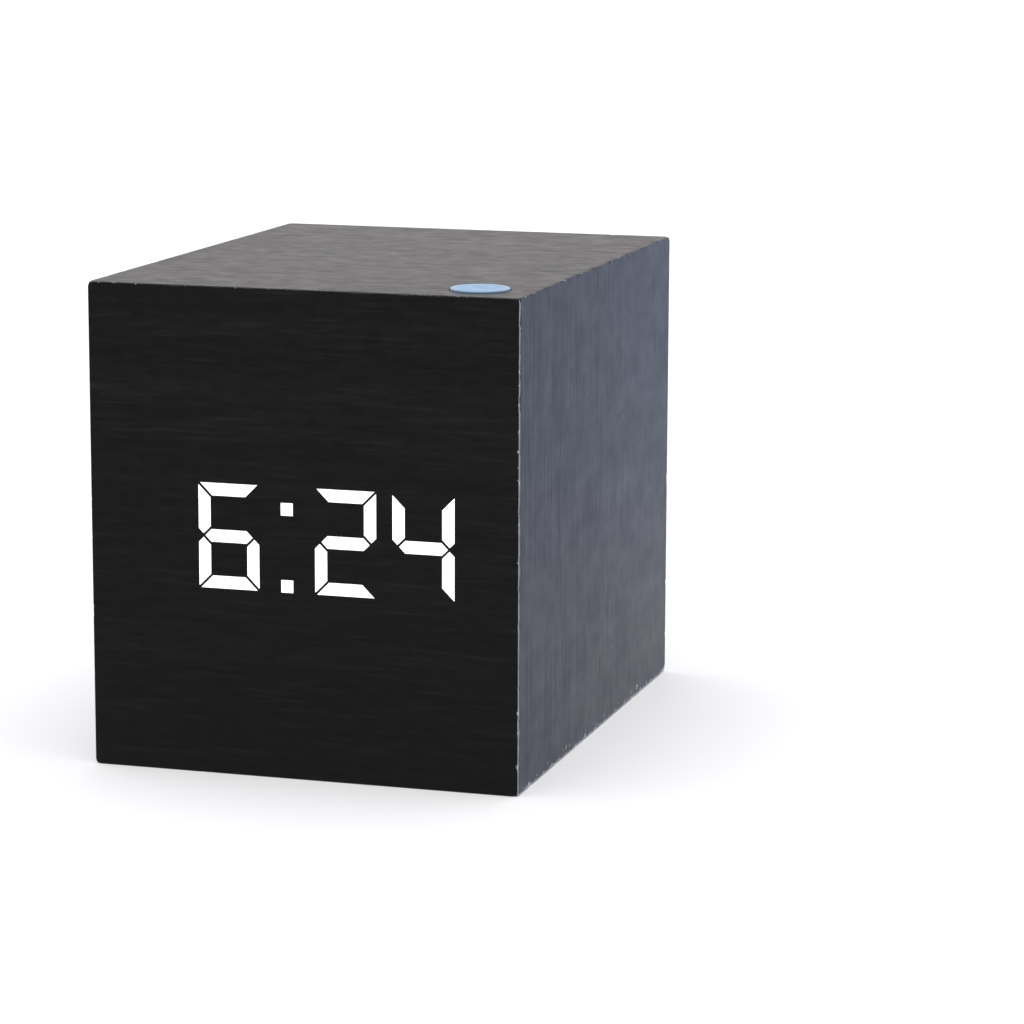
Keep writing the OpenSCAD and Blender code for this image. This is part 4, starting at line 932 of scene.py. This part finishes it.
WHITE, PAPER = (1.0, 1.0, 1.0, 1.0), (0.862, 0.866, 0.884, 1.0)
FLOOR_GLOW, FLOOR_GLOSS_GLOW = 0.25, 0.7
COOL_RUN, NEAR_GLOSS, FAR_GLOSS = (0.04, 0.31), (1.0, 0.965, 0.92, 1.0), (0.70, 0.82, 1.0, 1.0)
eye, gloss = background_rays(root)
paper = root.node("ShaderNodeBsdfDiffuse", None, {"Color": PAPER})
white = root.node("ShaderNodeEmission", None, {"Color": WHITE, "Strength": 1.0})
behind = root.node("ShaderNodeTexCoord", out="Object").axes()[1].step(*COOL_RUN)
cool = root.node("ShaderNodeEmission", None, {"Color": behind.mix(NEAR_GLOSS, FAR_GLOSS), "Strength": 1.0})
surface = root.node("ShaderNodeMixShader", None, {0: eye * FLOOR_GLOW, 1: paper, 2: white})
surface = root.node("ShaderNodeMixShader", None, {0: gloss * FLOOR_GLOSS_GLOW, 1: surface, 2: cool})
root.feed(pale.node_tree.nodes.new("ShaderNodeOutputMaterial"), {0: surface})
floor_mesh.materials.append(pale)

world = bpy.data.worlds.new("studio")
bpy.context.scene.world = world
world.use_nodes = True
world.node_tree.nodes.clear()
root = Socket(world.node_tree)
eye, gloss = background_rays(root)
SKY, SKY_LIGHT, CEILING = (0.99, 0.99, 1.0, 1.0), 0.75, (0.975, 0.945, 0.96, 1.0)
fill = root.node("ShaderNodeBackground", None, {"Color": SKY, "Strength": SKY_LIGHT})
ceiling = root.node("ShaderNodeBackground", None, {"Color": CEILING, "Strength": 1.0})
white = root.node("ShaderNodeBackground", None, {"Color": WHITE, "Strength": 1.0})
seen = root.node("ShaderNodeMixShader", None, {0: gloss, 1: fill, 2: ceiling})
seen = root.node("ShaderNodeMixShader", None, {0: eye, 1: seen, 2: white})
root.feed(world.node_tree.nodes.new("ShaderNodeOutputWorld"), {0: seen})

LAMP_AT, LAMP_LIGHT, LAMP_SPREAD = Vector((0.0, 0.01, 1.0)), 2.1, math.radians(70)
light = bpy.data.lights.new("overhead", "SUN")
light.energy, light.color, light.angle = LAMP_LIGHT, (1.0, 0.995, 0.985), LAMP_SPREAD
lamp = bpy.data.objects.new("overhead", light)
lamp.location = LAMP_AT
lamp.rotation_euler = (Vector((0, 0, 0)) - LAMP_AT).to_track_quat("-Z", "Y").to_euler()
bpy.context.scene.collection.objects.link(lamp)

CAMERA_AT = (0.16352, -0.48773, 0.12482)
AZIMUTH, ELEVATION, ROLL = math.radians(16.681), math.radians(10.483), math.radians(0.21)
view = bpy.data.cameras.new("photo_view")
LENS, SENSOR = 129.1, 36.0
view.lens, view.sensor_width, view.sensor_fit = LENS, SENSOR, "HORIZONTAL"
camera = bpy.data.objects.new("photo_view", view)
level = math.cos(ELEVATION)
ahead = Vector((-math.sin(AZIMUTH) * level, math.cos(AZIMUTH) * level, -math.sin(ELEVATION)))
aim = ahead.to_track_quat("-Z", "Y").to_matrix() @ Matrix.Rotation(ROLL, 3, "Z")
camera.matrix_world = Matrix.Translation(CAMERA_AT) @ aim.to_4x4()
bpy.context.scene.collection.objects.link(camera)
bpy.context.scene.camera = camera
bpy.context.scene.view_settings.view_transform = "Standard"
